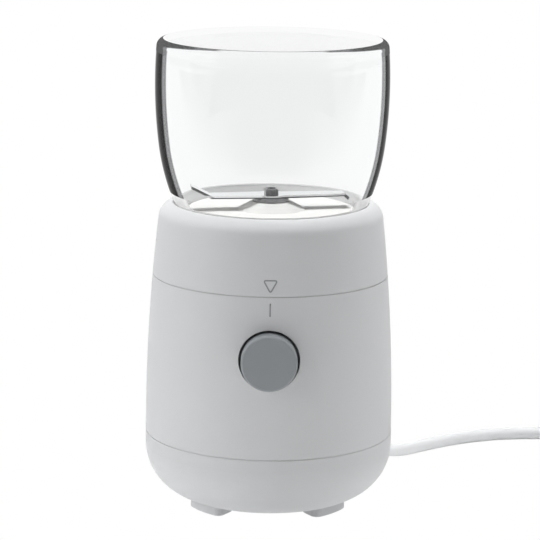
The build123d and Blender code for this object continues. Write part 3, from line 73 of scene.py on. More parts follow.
# %% Camera
CAMERA_PLACE = Vector((0.0, -1.016, 0.3148))
CAMERA_PITCH = math.radians(11.95)
CAMERA_ROLL = math.radians(0.70)
CAMERA_LENS = 163.7
CAMERA_SENSOR = 36.0
PICTURE_SIDE = 540
PICTURE_CENTRE_X = 270.3

camera_data = bpy.data.cameras.new("packshot_camera")
camera_data.lens = CAMERA_LENS
camera_data.sensor_width = CAMERA_SENSOR
camera_data.shift_x = (PICTURE_SIDE / 2 - PICTURE_CENTRE_X) / PICTURE_SIDE
camera = bpy.data.objects.new("packshot_camera", camera_data)
tilt = Matrix.Rotation(math.pi / 2 - CAMERA_PITCH, 4, "X")
camera.matrix_world = Matrix.Translation(CAMERA_PLACE) @ tilt @ Matrix.Rotation(CAMERA_ROLL, 4, "Z")
bpy.context.scene.collection.objects.link(camera)
bpy.context.scene.camera = camera
print("camera at", [round(v, 4) for v in CAMERA_PLACE])

# %% [markdown]
# ## Small helpers
#
# Colours are written as the hex values that a colour picker shows, and one function turns them to the linear
# values that shaders expect. One more function adds a node with its settings and links, so that each material
# below reads as a short recipe. A Map Range node can turn a value into a soft step, and that is used so often
# that its setting has a name.

# %% Colour and node helpers
SOFT_STEP = {"interpolation_type": "SMOOTHSTEP"}


def linear(hex_text):
    """The linear colour of an sRGB hex value."""
    channels = [int(hex_text[i:i + 2], 16) / 255 for i in (1, 3, 5)]
    return [c / 12.92 if c <= 0.04045 else ((c + 0.055) / 1.055) ** 2.4 for c in channels] + [1.0]


def add_node(tree, kind, settings=None, inputs=None):
    """Adds a node: settings are its own properties, inputs are values or (node, output) links by socket."""
    node = tree.nodes.new(kind)
    for name, value in (settings or {}).items():
        setattr(node, name, value)
    for socket, value in (inputs or {}).items():
        if isinstance(value, tuple) and isinstance(value[0], bpy.types.Node):
            tree.links.new(value[0].outputs[value[1]], node.inputs[socket])
        else:
            node.inputs[socket].default_value = value
    return node


def new_material(name):
    """An empty node material and its tree."""
    material = bpy.data.materials.new(name)
    material.use_nodes = True
    material.node_tree.nodes.clear()
    print("material", name)
    return material, material.node_tree


# %% [markdown]
# ## Plastics
#
# Housing, button and inner parts are injection-moulded ABS. The mould was spark-eroded, which leaves a fine
# even grain: up close the surface is lightly pebbled, and from a step away it only looks matte. The grain is
# a noise of about half a millimetre that drives a shallow bump and shifts the roughness a little. Soft vinyl
# shines less and lets light sink in, which evens out the tones of a thin cord.

# %% Moulded plastic
DRIFT_SIZE = 40 * MM
GRAIN_DETAIL = 3.0
GLOSS_SPREAD = 0.06
PLASTIC_IOR = 1.53
PLASTIC_SHEEN = 0.5
SOFT_SHEEN = 0.2


def moulded_plastic(name, colour, shade, grain_mm, roughness, bump=0.05, sink_mm=0.0):
    """Matte moulded plastic: a colour that drifts towards a shade, a grain, and how deep light sinks in."""
    material, tree = new_material(name)
    place = add_node(tree, "ShaderNodeTexCoord")
    drift = add_node(
        tree, "ShaderNodeTexNoise", inputs={"Vector": (place, "Object"), "Scale": 1 / DRIFT_SIZE}
    )
    tint = add_node(
        tree,
        "ShaderNodeMix",
        {"data_type": "RGBA"},
        {"Factor": (drift, "Fac"), "A": linear(colour), "B": linear(shade)},
    )
    grain = add_node(
        tree,
        "ShaderNodeTexNoise",
        inputs={"Vector": (place, "Object"), "Scale": 1 / (grain_mm * MM), "Detail": GRAIN_DETAIL},
    )
    gloss = add_node(
        tree,
        "ShaderNodeMapRange",
        inputs={
            "Value": (grain, "Fac"),
            "To Min": roughness - GLOSS_SPREAD,
            "To Max": roughness + GLOSS_SPREAD,
        },
    )
    relief = add_node(
        tree,
        "ShaderNodeBump",
        inputs={"Height": (grain, "Fac"), "Strength": bump, "Distance": grain_mm * MM},
    )
    shader = add_node(
        tree,
        "ShaderNodeBsdfPrincipled",
        inputs={
            "Base Color": (tint, "Result"),
            "Roughness": (gloss, "Result"),
            "Normal": (relief, "Normal"),
            "IOR": PLASTIC_IOR,
            "Specular IOR Level": SOFT_SHEEN if sink_mm else PLASTIC_SHEEN,
            "Subsurface Weight": 1.0 if sink_mm else 0.0,
            "Subsurface Radius": (1.0, 1.0, 1.0),
            "Subsurface Scale": sink_mm * MM,
        },
    )
    add_node(tree, "ShaderNodeOutputMaterial", inputs={"Surface": (shader, "BSDF")})
    return material


housing_abs = moulded_plastic("housing_abs_spark_eroded", "#cfd0d2", "#cccdce", 0.5, 0.52)
button_abs = moulded_plastic("button_abs_spark_eroded", "#8e9296", "#8b8f92", 0.5, 0.50)
inner_abs = moulded_plastic("inner_abs_moulded", "#d7d7d6", "#cfcfce", 0.8, 0.45)
black_nylon = moulded_plastic("black_nylon_moulded", "#1b1b1c", "#141415", 0.6, 0.45)
white_nylon = moulded_plastic("white_nylon_moulded", "#e8e8e4", "#dededa", 0.6, 0.40)
cord_vinyl = moulded_plastic(
    "white_vinyl_extruded", "#e0e1e2", "#dcddde", 1.2, 0.42, bump=0.03, sink_mm=4.0
)
soft_rubber = moulded_plastic("black_rubber_moulded", "#161616", "#1d1d1d", 0.8, 0.75)
white_silicone = moulded_plastic("white_silicone_moulded", "#e6e6e3", "#dcdcda", 0.9, 0.55)
pressed_carbon = moulded_plastic("carbon_pressed", "#181818", "#222222", 0.3, 0.7, bump=0.15)

# %% [markdown]
# ## White floor of the grinding bowl
#
# The floor under the blade is satin white polypropylene. Light sinks a little way in and comes out again, so
# shadows on it are soft and pale. Some subsurface scattering gives that.

# %% Polypropylene
FLOOR_COLOUR = "#d8d8d6"
FLOOR_WAVE = 6 * MM
FLOOR_ROUGHNESS = (0.52, 0.64)


def white_polypropylene():
    """Satin translucent white plastic."""
    material, tree = new_material("white_polypropylene_satin")
    place = add_node(tree, "ShaderNodeTexCoord")
    wave = add_node(tree, "ShaderNodeTexNoise", inputs={"Vector": (place, "Object"), "Scale": 1 / FLOOR_WAVE})
    gloss = add_node(
        tree,
        "ShaderNodeMapRange",
        inputs={"Value": (wave, "Fac"), "To Min": FLOOR_ROUGHNESS[0], "To Max": FLOOR_ROUGHNESS[1]},
    )
    shader = add_node(
        tree,
        "ShaderNodeBsdfPrincipled",
        inputs={
            "Base Color": linear(FLOOR_COLOUR),
            "Roughness": (gloss, "Result"),
            "IOR": 1.49,
            "Specular IOR Level": 0.15,
            "Subsurface Weight": 0.35,
            "Subsurface Radius": (1.0, 1.0, 1.0),
            "Subsurface Scale": 2 * MM,
        },
    )
    add_node(tree, "ShaderNodeOutputMaterial", inputs={"Surface": (shader, "BSDF")})
    return material


floor_polypropylene = white_polypropylene()

# %% [markdown]
# ## Metals
#
# The blade is stamped stainless strip with a fine rolling grain along its length; hub, nut and shafts are
# turned, springs are drawn wire, and the windings are enamelled copper. All keep the default IOR of a metal
# shader and differ in colour, roughness and the direction of their marks. Tumbling after stamping rounds the
# edges of small parts. A Bevel node turns the shading there, so that an edge mirrors the room above and the
# floor below, with only a thin dark line between.

# %% Metal
MARK_DETAIL = 4.0
MARK_GLOSS = (0.7, 1.3)
BEVEL_SAMPLES = 8


def worked_metal(name, colour, mark_mm, stretch, roughness, bump=0.02, edge_mm=0.1):
    """Metal with fine marks, mark_mm wide and drawn out by stretch, and with edges rounded to edge_mm."""
    material, tree = new_material(name)
    place = add_node(tree, "ShaderNodeTexCoord")
    drawn = add_node(
        tree, "ShaderNodeMapping", inputs={"Vector": (place, "Object"), "Scale": stretch}
    )
    marks = add_node(
        tree,
        "ShaderNodeTexNoise",
        inputs={"Vector": (drawn, "Vector"), "Scale": 1 / (mark_mm * MM), "Detail": MARK_DETAIL},
    )
    gloss = add_node(
        tree,
        "ShaderNodeMapRange",
        inputs={
            "Value": (marks, "Fac"),
            "To Min": roughness * MARK_GLOSS[0],
            "To Max": roughness * MARK_GLOSS[1],
        },
    )
    edge = add_node(tree, "ShaderNodeBevel", {"samples": BEVEL_SAMPLES}, {"Radius": edge_mm * MM})
    relief = add_node(
        tree,
        "ShaderNodeBump",
        inputs={
            "Height": (marks, "Fac"),
            "Strength": bump,
            "Distance": mark_mm * MM,
            "Normal": (edge, "Normal"),
        },
    )
    shader = add_node(
        tree,
        "ShaderNodeBsdfPrincipled",
        inputs={
            "Base Color": linear(colour),
            "Metallic": 1.0,
            "Roughness": (gloss, "Result"),
            "Normal": (relief, "Normal"),
        },
    )
    add_node(tree, "ShaderNodeOutputMaterial", inputs={"Surface": (shader, "BSDF")})
    return material


ALONG_X = (0.05, 1.0, 1.0)
ALONG_Z = (1.0, 1.0, 0.05)
ACROSS_Z = (0.05, 0.05, 1.0)
WOUND = (0.1, 1.0, 1.0)
EVEN = (1.0, 1.0, 1.0)
BLADE_COLOUR = "#ececed"
blade_steel = worked_metal("stainless_strip_rolled", BLADE_COLOUR, 0.4, ALONG_X, 0.05)
# Painted dark reflection: hub and nut take a colour darker than turned steel, standing in for the dark front
# that they mirror.
hub_steel = worked_metal("steel_turned_painted_dark", "#7e7e80", 0.3, ALONG_Z, 0.30, edge_mm=0.3)
shaft_steel = worked_metal("steel_ground", "#b8b8ba", 0.3, ALONG_Z, 0.25)
screw_steel = worked_metal("steel_zinc_plated", "#a9a9a8", 0.5, EVEN, 0.35)
cast_aluminium = worked_metal("aluminium_die_cast", "#b7b8ba", 1.2, EVEN, 0.5, bump=0.1)
stacked_steel = worked_metal("lamination_steel_lacquered", "#5a5b5f", 0.5, ACROSS_Z, 0.45, bump=0.3)
enamelled_copper = worked_metal("copper_wire_enamelled", "#a5562f", 0.6, WOUND, 0.3, bump=0.4)
bare_copper = worked_metal("copper_turned", "#c98761", 0.4, ALONG_Z, 0.3)
spring_steel = worked_metal("spring_wire_drawn", "#8e8e90", 0.4, EVEN, 0.3)
sintered_bronze = worked_metal("bronze_sintered", "#a5834f", 0.4, EVEN, 0.55, bump=0.2)
plated_brass = worked_metal("brass_nickel_plated", "#c9c5bc", 0.5, ALONG_X, 0.22)

# %% [markdown]
# A blade is stamped from strip, and the faces that rolling and grinding made stay bright. The thin dark line
# along its upright edge is painted: the lower part of that edge and the edges of the bent tips take a dark
# colour that stands in for the dark reflection such an edge shows. How far a face's normal points up or down
# finds the edge, and the height finds its painted part.

# %% Painted dark edge of the blade
# Painted dark reflection: the colour of the lower part of the blade's upright edge and of the tips' edges.
PAINTED_DARK_EDGE = "#3c3c3e"
BLADE_LOW_Z = 131.7 * MM
BLADE_THICKNESS = 1.2 * MM
DARK_EDGE_SHARE = 0.45
DARK_EDGE_EASE = 0.1 * MM
TIP_RISE = 0.4 * MM
UPRIGHT = (0.25, 0.45)
tree = blade_steel.node_tree
shader = next(node for node in tree.nodes if node.type == "BSDF_PRINCIPLED")
geometry = add_node(tree, "ShaderNodeNewGeometry")
axes = add_node(tree, "ShaderNodeSeparateXYZ", inputs={"Vector": (geometry, "True Normal")})
lie = add_node(tree, "ShaderNodeMath", {"operation": "ABSOLUTE"}, {0: (axes, "Z")})
upright = add_node(
    tree,
    "ShaderNodeMapRange",
    SOFT_STEP,
    {"Value": (lie, "Value"), "From Min": UPRIGHT[0], "From Max": UPRIGHT[1], "To Min": 1.0, "To Max": 0.0},
)
place = add_node(tree, "ShaderNodeTexCoord")
heights = add_node(tree, "ShaderNodeSeparateXYZ", inputs={"Vector": (place, "Object")})
dark_edge_z = BLADE_LOW_Z + DARK_EDGE_SHARE * BLADE_THICKNESS
top_z = BLADE_LOW_Z + BLADE_THICKNESS
low = add_node(
    tree,
    "ShaderNodeMapRange",
    SOFT_STEP,
    {
        "Value": (heights, "Z"),
        "From Min": dark_edge_z - DARK_EDGE_EASE,
        "From Max": dark_edge_z + DARK_EDGE_EASE,
        "To Min": 1.0,
        "To Max": 0.0,
    },
)
tip = add_node(
    tree,
    "ShaderNodeMapRange",
    SOFT_STEP,
    {"Value": (heights, "Z"), "From Min": top_z, "From Max": top_z + TIP_RISE},
)
painted_dark = add_node(
    tree, "ShaderNodeMath", {"operation": "MAXIMUM"}, {0: (low, "Result"), 1: (tip, "Result")}
)
painted_reflection_mask = add_node(
    tree, "ShaderNodeMath", {"operation": "MULTIPLY"}, {0: (upright, "Result"), 1: (painted_dark, "Value")}
)
steel = add_node(
    tree,
    "ShaderNodeMix",
    {"data_type": "RGBA"},
    {"Factor": (painted_reflection_mask, "Value"), "A": linear(BLADE_COLOUR), "B": linear(PAINTED_DARK_EDGE)},
)
tree.links.new(steel.outputs["Result"], shader.inputs["Base Color"])
print("edge torn up to", round(dark_edge_z, 5))

# %% [markdown]
# ## Finishes for the solids
#
# Every solid of the frame names the kind of finish that it takes. One table pairs those names with the
# materials above, so that a screw inside the base is dressed with the same care as the housing.

# %% Dress every carried-over solid
FINISHES = {
    "housing_plastic": housing_abs,
    "inner_plastic": inner_abs,
    "button_plastic": button_abs,
    "floor_plastic": floor_polypropylene,
    "seal_silicone": white_silicone,
    "blade_steel": blade_steel,
    "hub_steel": hub_steel,
    "shaft_steel": shaft_steel,
    "screw_steel": screw_steel,
    "bridge_aluminium": cast_aluminium,
    "core_steel": stacked_steel,
    "winding_copper": enamelled_copper,
    "commutator_copper": bare_copper,
    "brush_carbon": pressed_carbon,
    "spring_steel": spring_steel,
    "bush_bronze": sintered_bronze,
    "coupling_nylon": black_nylon,
    "mount_rubber": soft_rubber,
    "switch_plastic": black_nylon,
    "plunger_plastic": white_nylon,
    "cord_vinyl": cord_vinyl,
    "tie_plastic": white_nylon,
    "pin_nickel": plated_brass,
}
for subpart in frame["record"]["subparts"]:
    finish = FINISHES.get(subpart["material_slot"])
    if finish:
        mesh = nodes[subpart["node"]].data
        mesh.materials.clear()
        mesh.materials.append(finish)

# %% [markdown]
# ## Mains cord
#
# The cord leaves low at the back, lies on the table in one lazy bend, and what the picture doesn't show is
# wound into a small flat coil with its plug beside it. A cord is best made as one NURBS curve with a round
# bevel: its few points are where a hand would lay it, and the curve finds the smooth line between them.

# %% Cord values
CORD_RADIUS = 2.8 * MM
CORD_LEAD = 12.0 * MM
RELIEF_LENGTH = 22.0 * MM
OUTLET_POINT = Vector((34.51, 34.51, 13.0)) * MM
OUTLET_ANGLE = math.radians(45)
OUTLET_SLOPE = math.radians(15)
CORD_ROUTE_MM = [
    (67.0, 69.5, 2.85),
    (79.5, 79.8, 2.85),
    (95.0, 89.2, 2.85),
    (112.0, 94.6, 2.9),
    (130.0, 94.0, 3.3),
    (147.8, 93.6, 3.8),
    (165.1, 91.5, 3.8),
]
TAIL_ROUTE_MM = [(205.0, 82.5, 7.8), (217.5, 71.5, 6.2), (225.3, 57.0, 7.05), (230.0, 44.5, 7.05)]
TAIL_LEAD = 14.5 * MM
COIL_RADIUS = 36.0 * MM
COIL_PITCH = 6.2 * MM
COIL_RISE = 6.2 * MM
COIL_HALF_TURNS = 8
COIL_STEPS = 8

outlet_direction = Vector(
    (
        math.cos(OUTLET_SLOPE) * math.cos(OUTLET_ANGLE),
        math.cos(OUTLET_SLOPE) * math.sin(OUTLET_ANGLE),
        -math.sin(OUTLET_SLOPE),
    )
)
cord_start = OUTLET_POINT + outlet_direction * RELIEF_LENGTH
cord_points = [cord_start, cord_start + outlet_direction * CORD_LEAD]
cord_points += [Vector(point) * MM for point in CORD_ROUTE_MM]
print("cord starts at", [round(v, 4) for v in cord_start])

# %% [markdown]
# The coil is wound as a hand winds it: half turns, each a little tighter than the last, then wider again on a
# second layer. Its points come from a loop, eight to a half turn. They lie a little outside the turn, because
# the curve cuts inside its points.

# %% Coil points
coil_heading = (cord_points[-1] - cord_points[-2]).normalized()
coil_across = Vector((coil_heading.y, -coil_heading.x, 0))
place = cord_points[-1] + coil_heading * 2 * CORD_RADIUS
swell = 1 / math.cos(math.pi / (2 * COIL_STEPS))
for turn in range(COIL_HALF_TURNS):
    side = 1 if turn % 2 == 0 else -1
    radius = COIL_RADIUS - min(turn, COIL_HALF_TURNS - turn) * COIL_PITCH / 2
    climb = COIL_RISE if turn == COIL_HALF_TURNS // 2 else 0
    middle = place + coil_across * (radius * side)
    for step in range(COIL_STEPS):
        angle = math.pi * (step + 0.5) / COIL_STEPS
        out = coil_heading * (side * swell * radius * math.sin(angle))
        along = coil_across * (side * swell * radius * math.cos(angle))
        cord_points.append(middle - along + out + Vector((0, 0, climb * (1 - math.cos(angle)) / 2)))
    place = place + coil_across * (2 * radius * side) + Vector((0, 0, climb))
coil_end = place + coil_heading * 2 * CORD_RADIUS
cord_points += [coil_end, coil_end + coil_heading * TAIL_LEAD]
cord_points += [Vector(point) * MM for point in TAIL_ROUTE_MM]
print("cord points", len(cord_points))

# %% [markdown]
# All points go into one open spline of order three, which is smooth and stays close to them. The round bevel
# gives the cord its thickness. The cord rides on the base, and the plug, its pins and the tie go with it.

# %% Cord curve
cord_curve = bpy.data.curves.new("mains_cord", "CURVE")
cord_curve.dimensions = "3D"
spline = cord_curve.splines.new("NURBS")
spline.points.add(len(cord_points) - 1)
for knot, point in zip(spline.points, cord_points):
    knot.co = (*point, 1.0)
spline.order_u = 3
spline.use_endpoint_u = True
spline.resolution_u = 6
print("cord spline of order", spline.order_u, "with", len(spline.points), "points")
cord_curve.bevel_depth = CORD_RADIUS
cord_curve.bevel_resolution = 6
cord_curve.use_fill_caps = True
cord_curve.materials.append(cord_vinyl)
mains_cord = bpy.data.objects.new("mains_cord", cord_curve)
bpy.context.scene.collection.objects.link(mains_cord)
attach(mains_cord, "motor_base")
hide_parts("power_cord", "cord_coil", "cord_tail")

# %% [markdown]
# ## Glass jar
#
# The jar is pressed soda-lime glass, about three millimetres thick, standing mouth down. Glass needs a truly
# smooth closed wall, because every facet would show as a kink in what is seen through it. So the jar is drawn
# as one half section, outside and inside, and spun round the axis in many steps. The section starts at the
# middle of the top, runs out over the shallow dish and the rounded edge, follows belly and flare down to the
# neck, turns round the rim and comes back up inside. Smooth shading would let each rounding tilt the flat
# beside it, so a narrow ring next to every rounding holds the flat.

# %% Section helpers
SPIN_STEPS = 160
MERGE_DISTANCE = 0.001 * MM


def arc(centre, radius, start, end, steps):
    """Points of an arc in the section's plane, from one angle to another."""
    angles = [start + (end - start) * i / steps for i in range(steps + 1)]
    return [(centre[0] + radius * math.cos(a), centre[1] + radius * math.sin(a)) for a in angles]


def rounded(corner, before, after, radius, steps=14):
    """Points of the arc that rounds the corner of a section, between its neighbours."""
    corner, before, after = Vector(corner), Vector(before), Vector(after)
    one, two = (before - corner).normalized(), (after - corner).normalized()
    half = one.angle(two) / 2
    centre = corner + (one + two).normalized() * (radius / math.sin(half))
    spokes = [corner + side * (radius / math.tan(half)) - centre for side in (one, two)]
    start = math.atan2(spokes[0].y, spokes[0].x)
    turn = math.atan2(spokes[0].cross(spokes[1]), spokes[0].dot(spokes[1]))
    return arc(centre, radius, start, start + turn, steps)


def spin_section(points, steps=SPIN_STEPS):
    """Spins a half section that is closed, or that starts and ends on the Z axis, into a closed shape."""
    bm = bmesh.new()
    verts = [bm.verts.new((r, 0.0, z)) for r, z in points]
    edges = [bm.edges.new(pair) for pair in zip(verts, verts[1:])]
    bmesh.ops.spin(
        bm,
        geom=verts + edges,
        cent=(0, 0, 0),
        axis=(0, 0, 1),
        dvec=(0, 0, 0),
        angle=2 * math.pi,
        steps=steps,
        use_merge=True,
        use_duplicate=False,
    )
    bmesh.ops.remove_doubles(bm, verts=bm.verts, dist=MERGE_DISTANCE)
    bmesh.ops.recalc_face_normals(bm, faces=bm.faces)
    return bm


def make_piece(name, bm, materials, body, replaced=()):
    """Turns a bmesh into a smooth piece that rides on a body, if any, and stands for the named nodes."""
    mesh = bpy.data.meshes.new(name)
    bm.to_mesh(mesh)
    bm.free()
    for material in materials:
        mesh.materials.append(material)
    mesh.shade_smooth()
    piece = bpy.data.objects.new(name, mesh)
    bpy.context.scene.collection.objects.link(piece)
    if body:
        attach(piece, body)
    if replaced:
        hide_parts(*replaced)
    print(name, len(mesh.polygons), "faces")
    return piece


# %% [markdown]
# Clear glass shows itself by its edges: where the wall is seen edge on, light crosses so much glass and is
# bent so far aside that the edge goes dark, with a paler strip beside it. That shade is painted into the
# glass's colour: a Layer Weight node finds those places on near faces, a first step paints the strip, a
# second the dark core. A step by the side makes the painted right edge thinner, since the room is brighter
# there. The rounding of the top bends light more than the wall does, so its painted dark line starts at a
# lesser steepness.

# %% Glass
GLASS_IOR = 1.5
RIGHT_EDGE_X = 10 * MM
RIGHT_EDGE_SHIFT = -0.055
TOP_EDGE_SHIFT = 0.18
ROUNDING_LOW = (0.4, 0.7)
ROUNDING_HIGH = (0.8, 0.97)


def clear_pressed_glass(name, colour, changes=None):
    """Clear soda-lime glass: its colour is the loss of light in a wall, changes are other inputs."""
    material, tree = new_material(name)
    inputs = {"Base Color": linear(colour), "Roughness": 0.0, "IOR": GLASS_IOR, "Transmission Weight": 1.0}
    shader = add_node(tree, "ShaderNodeBsdfPrincipled", inputs=inputs | (changes or {}))
    add_node(tree, "ShaderNodeOutputMaterial", inputs={"Surface": (shader, "BSDF")})
    return material, tree, shader


def near_steepness(tree):
    """How steep a near face is to the view, zero or less for a far one, and what tells them apart."""
    edge = add_node(tree, "ShaderNodeLayerWeight", inputs={"Blend": 0.5})
    side = add_node(tree, "ShaderNodeNewGeometry")
    near = add_node(
        tree, "ShaderNodeMath", {"operation": "SUBTRACT"}, {0: (edge, "Facing"), 1: (side, "Backfacing")}
    )
    return near, side


def paint_edge_shade(tree, shader, colour, strip, core):
    """Paints a shaded strip and a dark core into the colour where near faces are steep: each is a colour and
    two limits.
    """
    near, side = near_steepness(tree)
    place = add_node(tree, "ShaderNodeTexCoord")
    axes = add_node(tree, "ShaderNodeSeparateXYZ", inputs={"Vector": (place, "Object")})
    right = add_node(
        tree,
        "ShaderNodeMapRange",
        SOFT_STEP,
        {
            "Value": (axes, "X"),
            "From Min": -RIGHT_EDGE_X,
            "From Max": RIGHT_EDGE_X,
            "To Min": 0.0,
            "To Max": RIGHT_EDGE_SHIFT,
        },
    )
    lies = add_node(tree, "ShaderNodeSeparateXYZ", inputs={"Vector": (side, "Normal")})
    rounding = add_node(
        tree,
        "ShaderNodeMapRange",
        SOFT_STEP,
        {"Value": (lies, "Z"), "From Min": ROUNDING_LOW[0], "From Max": ROUNDING_LOW[1]},
    )
    top = add_node(
        tree,
        "ShaderNodeMapRange",
        SOFT_STEP,
        {
            "Value": (lies, "Z"),
            "From Min": ROUNDING_HIGH[0],
            "From Max": ROUNDING_HIGH[1],
            "To Min": TOP_EDGE_SHIFT,
            "To Max": 0.0,
        },
    )
    shift = add_node(
        tree,
        "ShaderNodeMix",
        {"data_type": "FLOAT"},
        {"Factor": (rounding, "Result"), "A": (right, "Result"), "B": (top, "Result")},
    )
    steepness = add_node(
        tree, "ShaderNodeMath", {"operation": "ADD"}, {0: (near, "Value"), 1: (shift, "Result")}
    )
    tint = linear(colour)
    for shade, low, high in (strip, core):
        step = add_node(
            tree,
            "ShaderNodeMapRange",
            SOFT_STEP,
            {"Value": (steepness, "Value"), "From Min": low, "From Max": high},
        )
        mix = add_node(
            tree,
            "ShaderNodeMix",
            {"data_type": "RGBA"},
            {"Factor": (step, "Result"), "A": tint, "B": linear(shade)},
        )
        tint = (mix, "Result")
    tree.links.new(tint[0].outputs[tint[1]], shader.inputs["Base Color"])
    return steepness, side


# %% [markdown]
# Each part of the jar has a glass of its own. The outer wall has the painted dark edges, and in their core it
# also loses most of its mirror shine, while the inner wall is plain clear glass. The top is a flat pane with
# a faint tone, and what is seen through a flat pane isn't bent. So the pane, its rounding and the inner
# corner have no bending of their own and take their mirror shine from a coat, which also keeps light from
# being caught between the faces.

# %% Glass of wall and top
GLASS_COLOUR = "#fcfdfd"
PANE_COLOUR = "#f6f6f6"
# Painted shade: colours and limits of the strip and the dark core at the jar's steep edges.
PAINTED_EDGE_STRIP = ("#3a3b3d", 0.565, 0.590)
PAINTED_EDGE_CORE = ("#020202", 0.640, 0.675)
PAINTED_TOP_EDGE_CORE = ("#222222", 0.640, 0.675)
CORE_IOR = 1.035
PANE_COAT = 0.6
PANE = {"IOR": 1.0, "Coat Weight": PANE_COAT, "Coat Roughness": 0.0}
clear_glass, _, _ = clear_pressed_glass("soda_lime_glass_polished", GLASS_COLOUR)
side_glass, side_tree, side_shader = clear_pressed_glass("soda_lime_glass_painted_edge_shade", GLASS_COLOUR)
steepness, side = paint_edge_shade(side_tree, side_shader, GLASS_COLOUR, PAINTED_EDGE_STRIP, PAINTED_EDGE_CORE)
mirror = add_node(
    side_tree,
    "ShaderNodeMapRange",
    SOFT_STEP,
    {
        "Value": (steepness, "Value"),
        "From Min": PAINTED_EDGE_CORE[1],
        "From Max": PAINTED_EDGE_CORE[2],
        "To Min": GLASS_IOR,
        "To Max": CORE_IOR,
    },
)
bend = add_node(
    side_tree,
    "ShaderNodeMix",
    {"data_type": "FLOAT"},
    {"Factor": (side, "Backfacing"), "A": (mirror, "Result"), "B": 1.0},
)
side_tree.links.new(bend.outputs["Result"], side_shader.inputs["IOR"])
pane_glass, _, _ = clear_pressed_glass("soda_lime_glass_flat_pane", PANE_COLOUR, PANE)
inner_edge_glass, _, _ = clear_pressed_glass("soda_lime_glass_plunger_edge", GLASS_COLOUR, PANE)
rounded_glass, rounded_tree, rounded_shader = clear_pressed_glass(
    "soda_lime_glass_rounding_painted_edge_shade", GLASS_COLOUR, PANE
)
steepness, _ = paint_edge_shade(rounded_tree, rounded_shader, GLASS_COLOUR, PAINTED_EDGE_STRIP, PAINTED_TOP_EDGE_CORE)
coat = add_node(
    rounded_tree,
    "ShaderNodeMapRange",
    SOFT_STEP,
    {
        "Value": (steepness, "Value"),
        "From Min": PAINTED_TOP_EDGE_CORE[1],
        "From Max": PAINTED_TOP_EDGE_CORE[2],
        "To Min": PANE_COAT,
        "To Max": 0.0,
    },
)
rounded_tree.links.new(coat.outputs["Result"], rounded_shader.inputs["Coat Weight"])

# %% [markdown]
# The threaded neck, left rough by its mould, scatters the light that runs down the wall and so looks pale.
# Just above it the wall is drawn almost without bending, and its outer face still scatters a little where it
# is seen edge on.

# %% Glass of neck and foot
NECK_COLOUR = "#e4e4e4"
NECK = {"Transmission Weight": 0.45, "Roughness": 0.2, "IOR": 1.2}
FOOT_COLOUR = "#fbfbfb"
FOOT = {"IOR": 1.05}
FOOT_STEEPNESS = (0.48, 0.60)
FOOT_CLEARNESS = 0.4
neck_glass, _, _ = clear_pressed_glass("soda_lime_glass_mould_ground", NECK_COLOUR, NECK)
foot_glass, foot_tree, foot_shader = clear_pressed_glass("soda_lime_glass_mould_worn", FOOT_COLOUR, FOOT)
inner_foot_glass, _, _ = clear_pressed_glass("soda_lime_glass_plunger_smooth", FOOT_COLOUR, FOOT)
steepness, _ = near_steepness(foot_tree)
clearness = add_node(
    foot_tree,
    "ShaderNodeMapRange",
    SOFT_STEP,
    {
        "Value": (steepness, "Value"),
        "From Min": FOOT_STEEPNESS[0],
        "From Max": FOOT_STEEPNESS[1],
        "To Min": 1.0,
        "To Max": FOOT_CLEARNESS,
    },
)
foot_tree.links.new(clearness.outputs["Result"], foot_shader.inputs["Transmission Weight"])

# %% [markdown]
# The side of the jar is two arcs that meet without a kink: a long one for the belly and a shorter one for the
# flare down to the neck. Moved in by the wall's thickness, the same two arcs give the inside. The top is
# slightly dished, so that the jar stands on a ring when it is turned over.

# %% Jar section
JAR_BELLY_DROP = 19.0 * MM
JAR_KNEE_DROP = 44.2 * MM
JAR_BELLY_ARC = 205.0 * MM
JAR_FLARE_ARC = 95.0 * MM
JAR_WALL = 3.0 * MM
JAR_TOP_WALL = 2.6 * MM
JAR_TOP_EDGE = 3.5 * MM
JAR_INNER_EDGE = 0.9 * MM
JAR_RIM_EDGE = 0.9 * MM
JAR_DISH_RADIUS = 28.0 * MM
JAR_DISH_DEPTH = 0.5 * MM
JAR_DISH_EASE = 4.0 * MM
JAR_DISH_STEPS = 8
HOLD_RING = 0.25 * MM
NECK_RADIUS = 40.28 * MM
NECK_WALL = 4.1 * MM
ARC_STEPS = 24

jar_low, jar_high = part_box("glass_jar")
belly_centre = Vector((jar_high.x - JAR_BELLY_ARC, jar_high.z - JAR_BELLY_DROP))
knee_lean = math.asin((JAR_KNEE_DROP - JAR_BELLY_DROP) / JAR_BELLY_ARC)
knee_spoke = Vector((math.cos(knee_lean), -math.sin(knee_lean)))
flare_centre = belly_centre + knee_spoke * (JAR_BELLY_ARC - JAR_FLARE_ARC)


def jar_side(neck_radius, top_z, inset, edge):
    """The jar's side from the top's rounded edge down to the neck, inset from its outer face."""
    belly, flare = JAR_BELLY_ARC - inset, JAR_FLARE_ARC - inset
    top_lean = math.asin((top_z - belly_centre.y) / belly)
    corner = belly_centre + Vector((math.cos(top_lean), math.sin(top_lean))) * belly
    tangent = Vector((math.sin(top_lean), -math.cos(top_lean)))
    points = rounded(corner, (0, top_z), corner + tangent, edge)
    points = [(points[0][0] - HOLD_RING, top_z)] + points
    start = math.asin((points[-1][1] - belly_centre.y) / belly)
    points += arc(belly_centre, belly, start - HOLD_RING / belly, -knee_lean, ARC_STEPS)
    end = -math.acos((neck_radius - flare_centre.x) / flare)
    return points + arc(flare_centre, flare, -knee_lean, end, ARC_STEPS)[1:]


def dish_point(step):
    """A point of the eased step between the shallow dish and the top's rim."""
    share = step / JAR_DISH_STEPS
    rise = JAR_DISH_DEPTH * (1 - math.cos(math.pi * share)) / 2
    return (JAR_DISH_RADIUS - JAR_DISH_EASE * (1 - share), jar_high.z - JAR_DISH_DEPTH + rise)


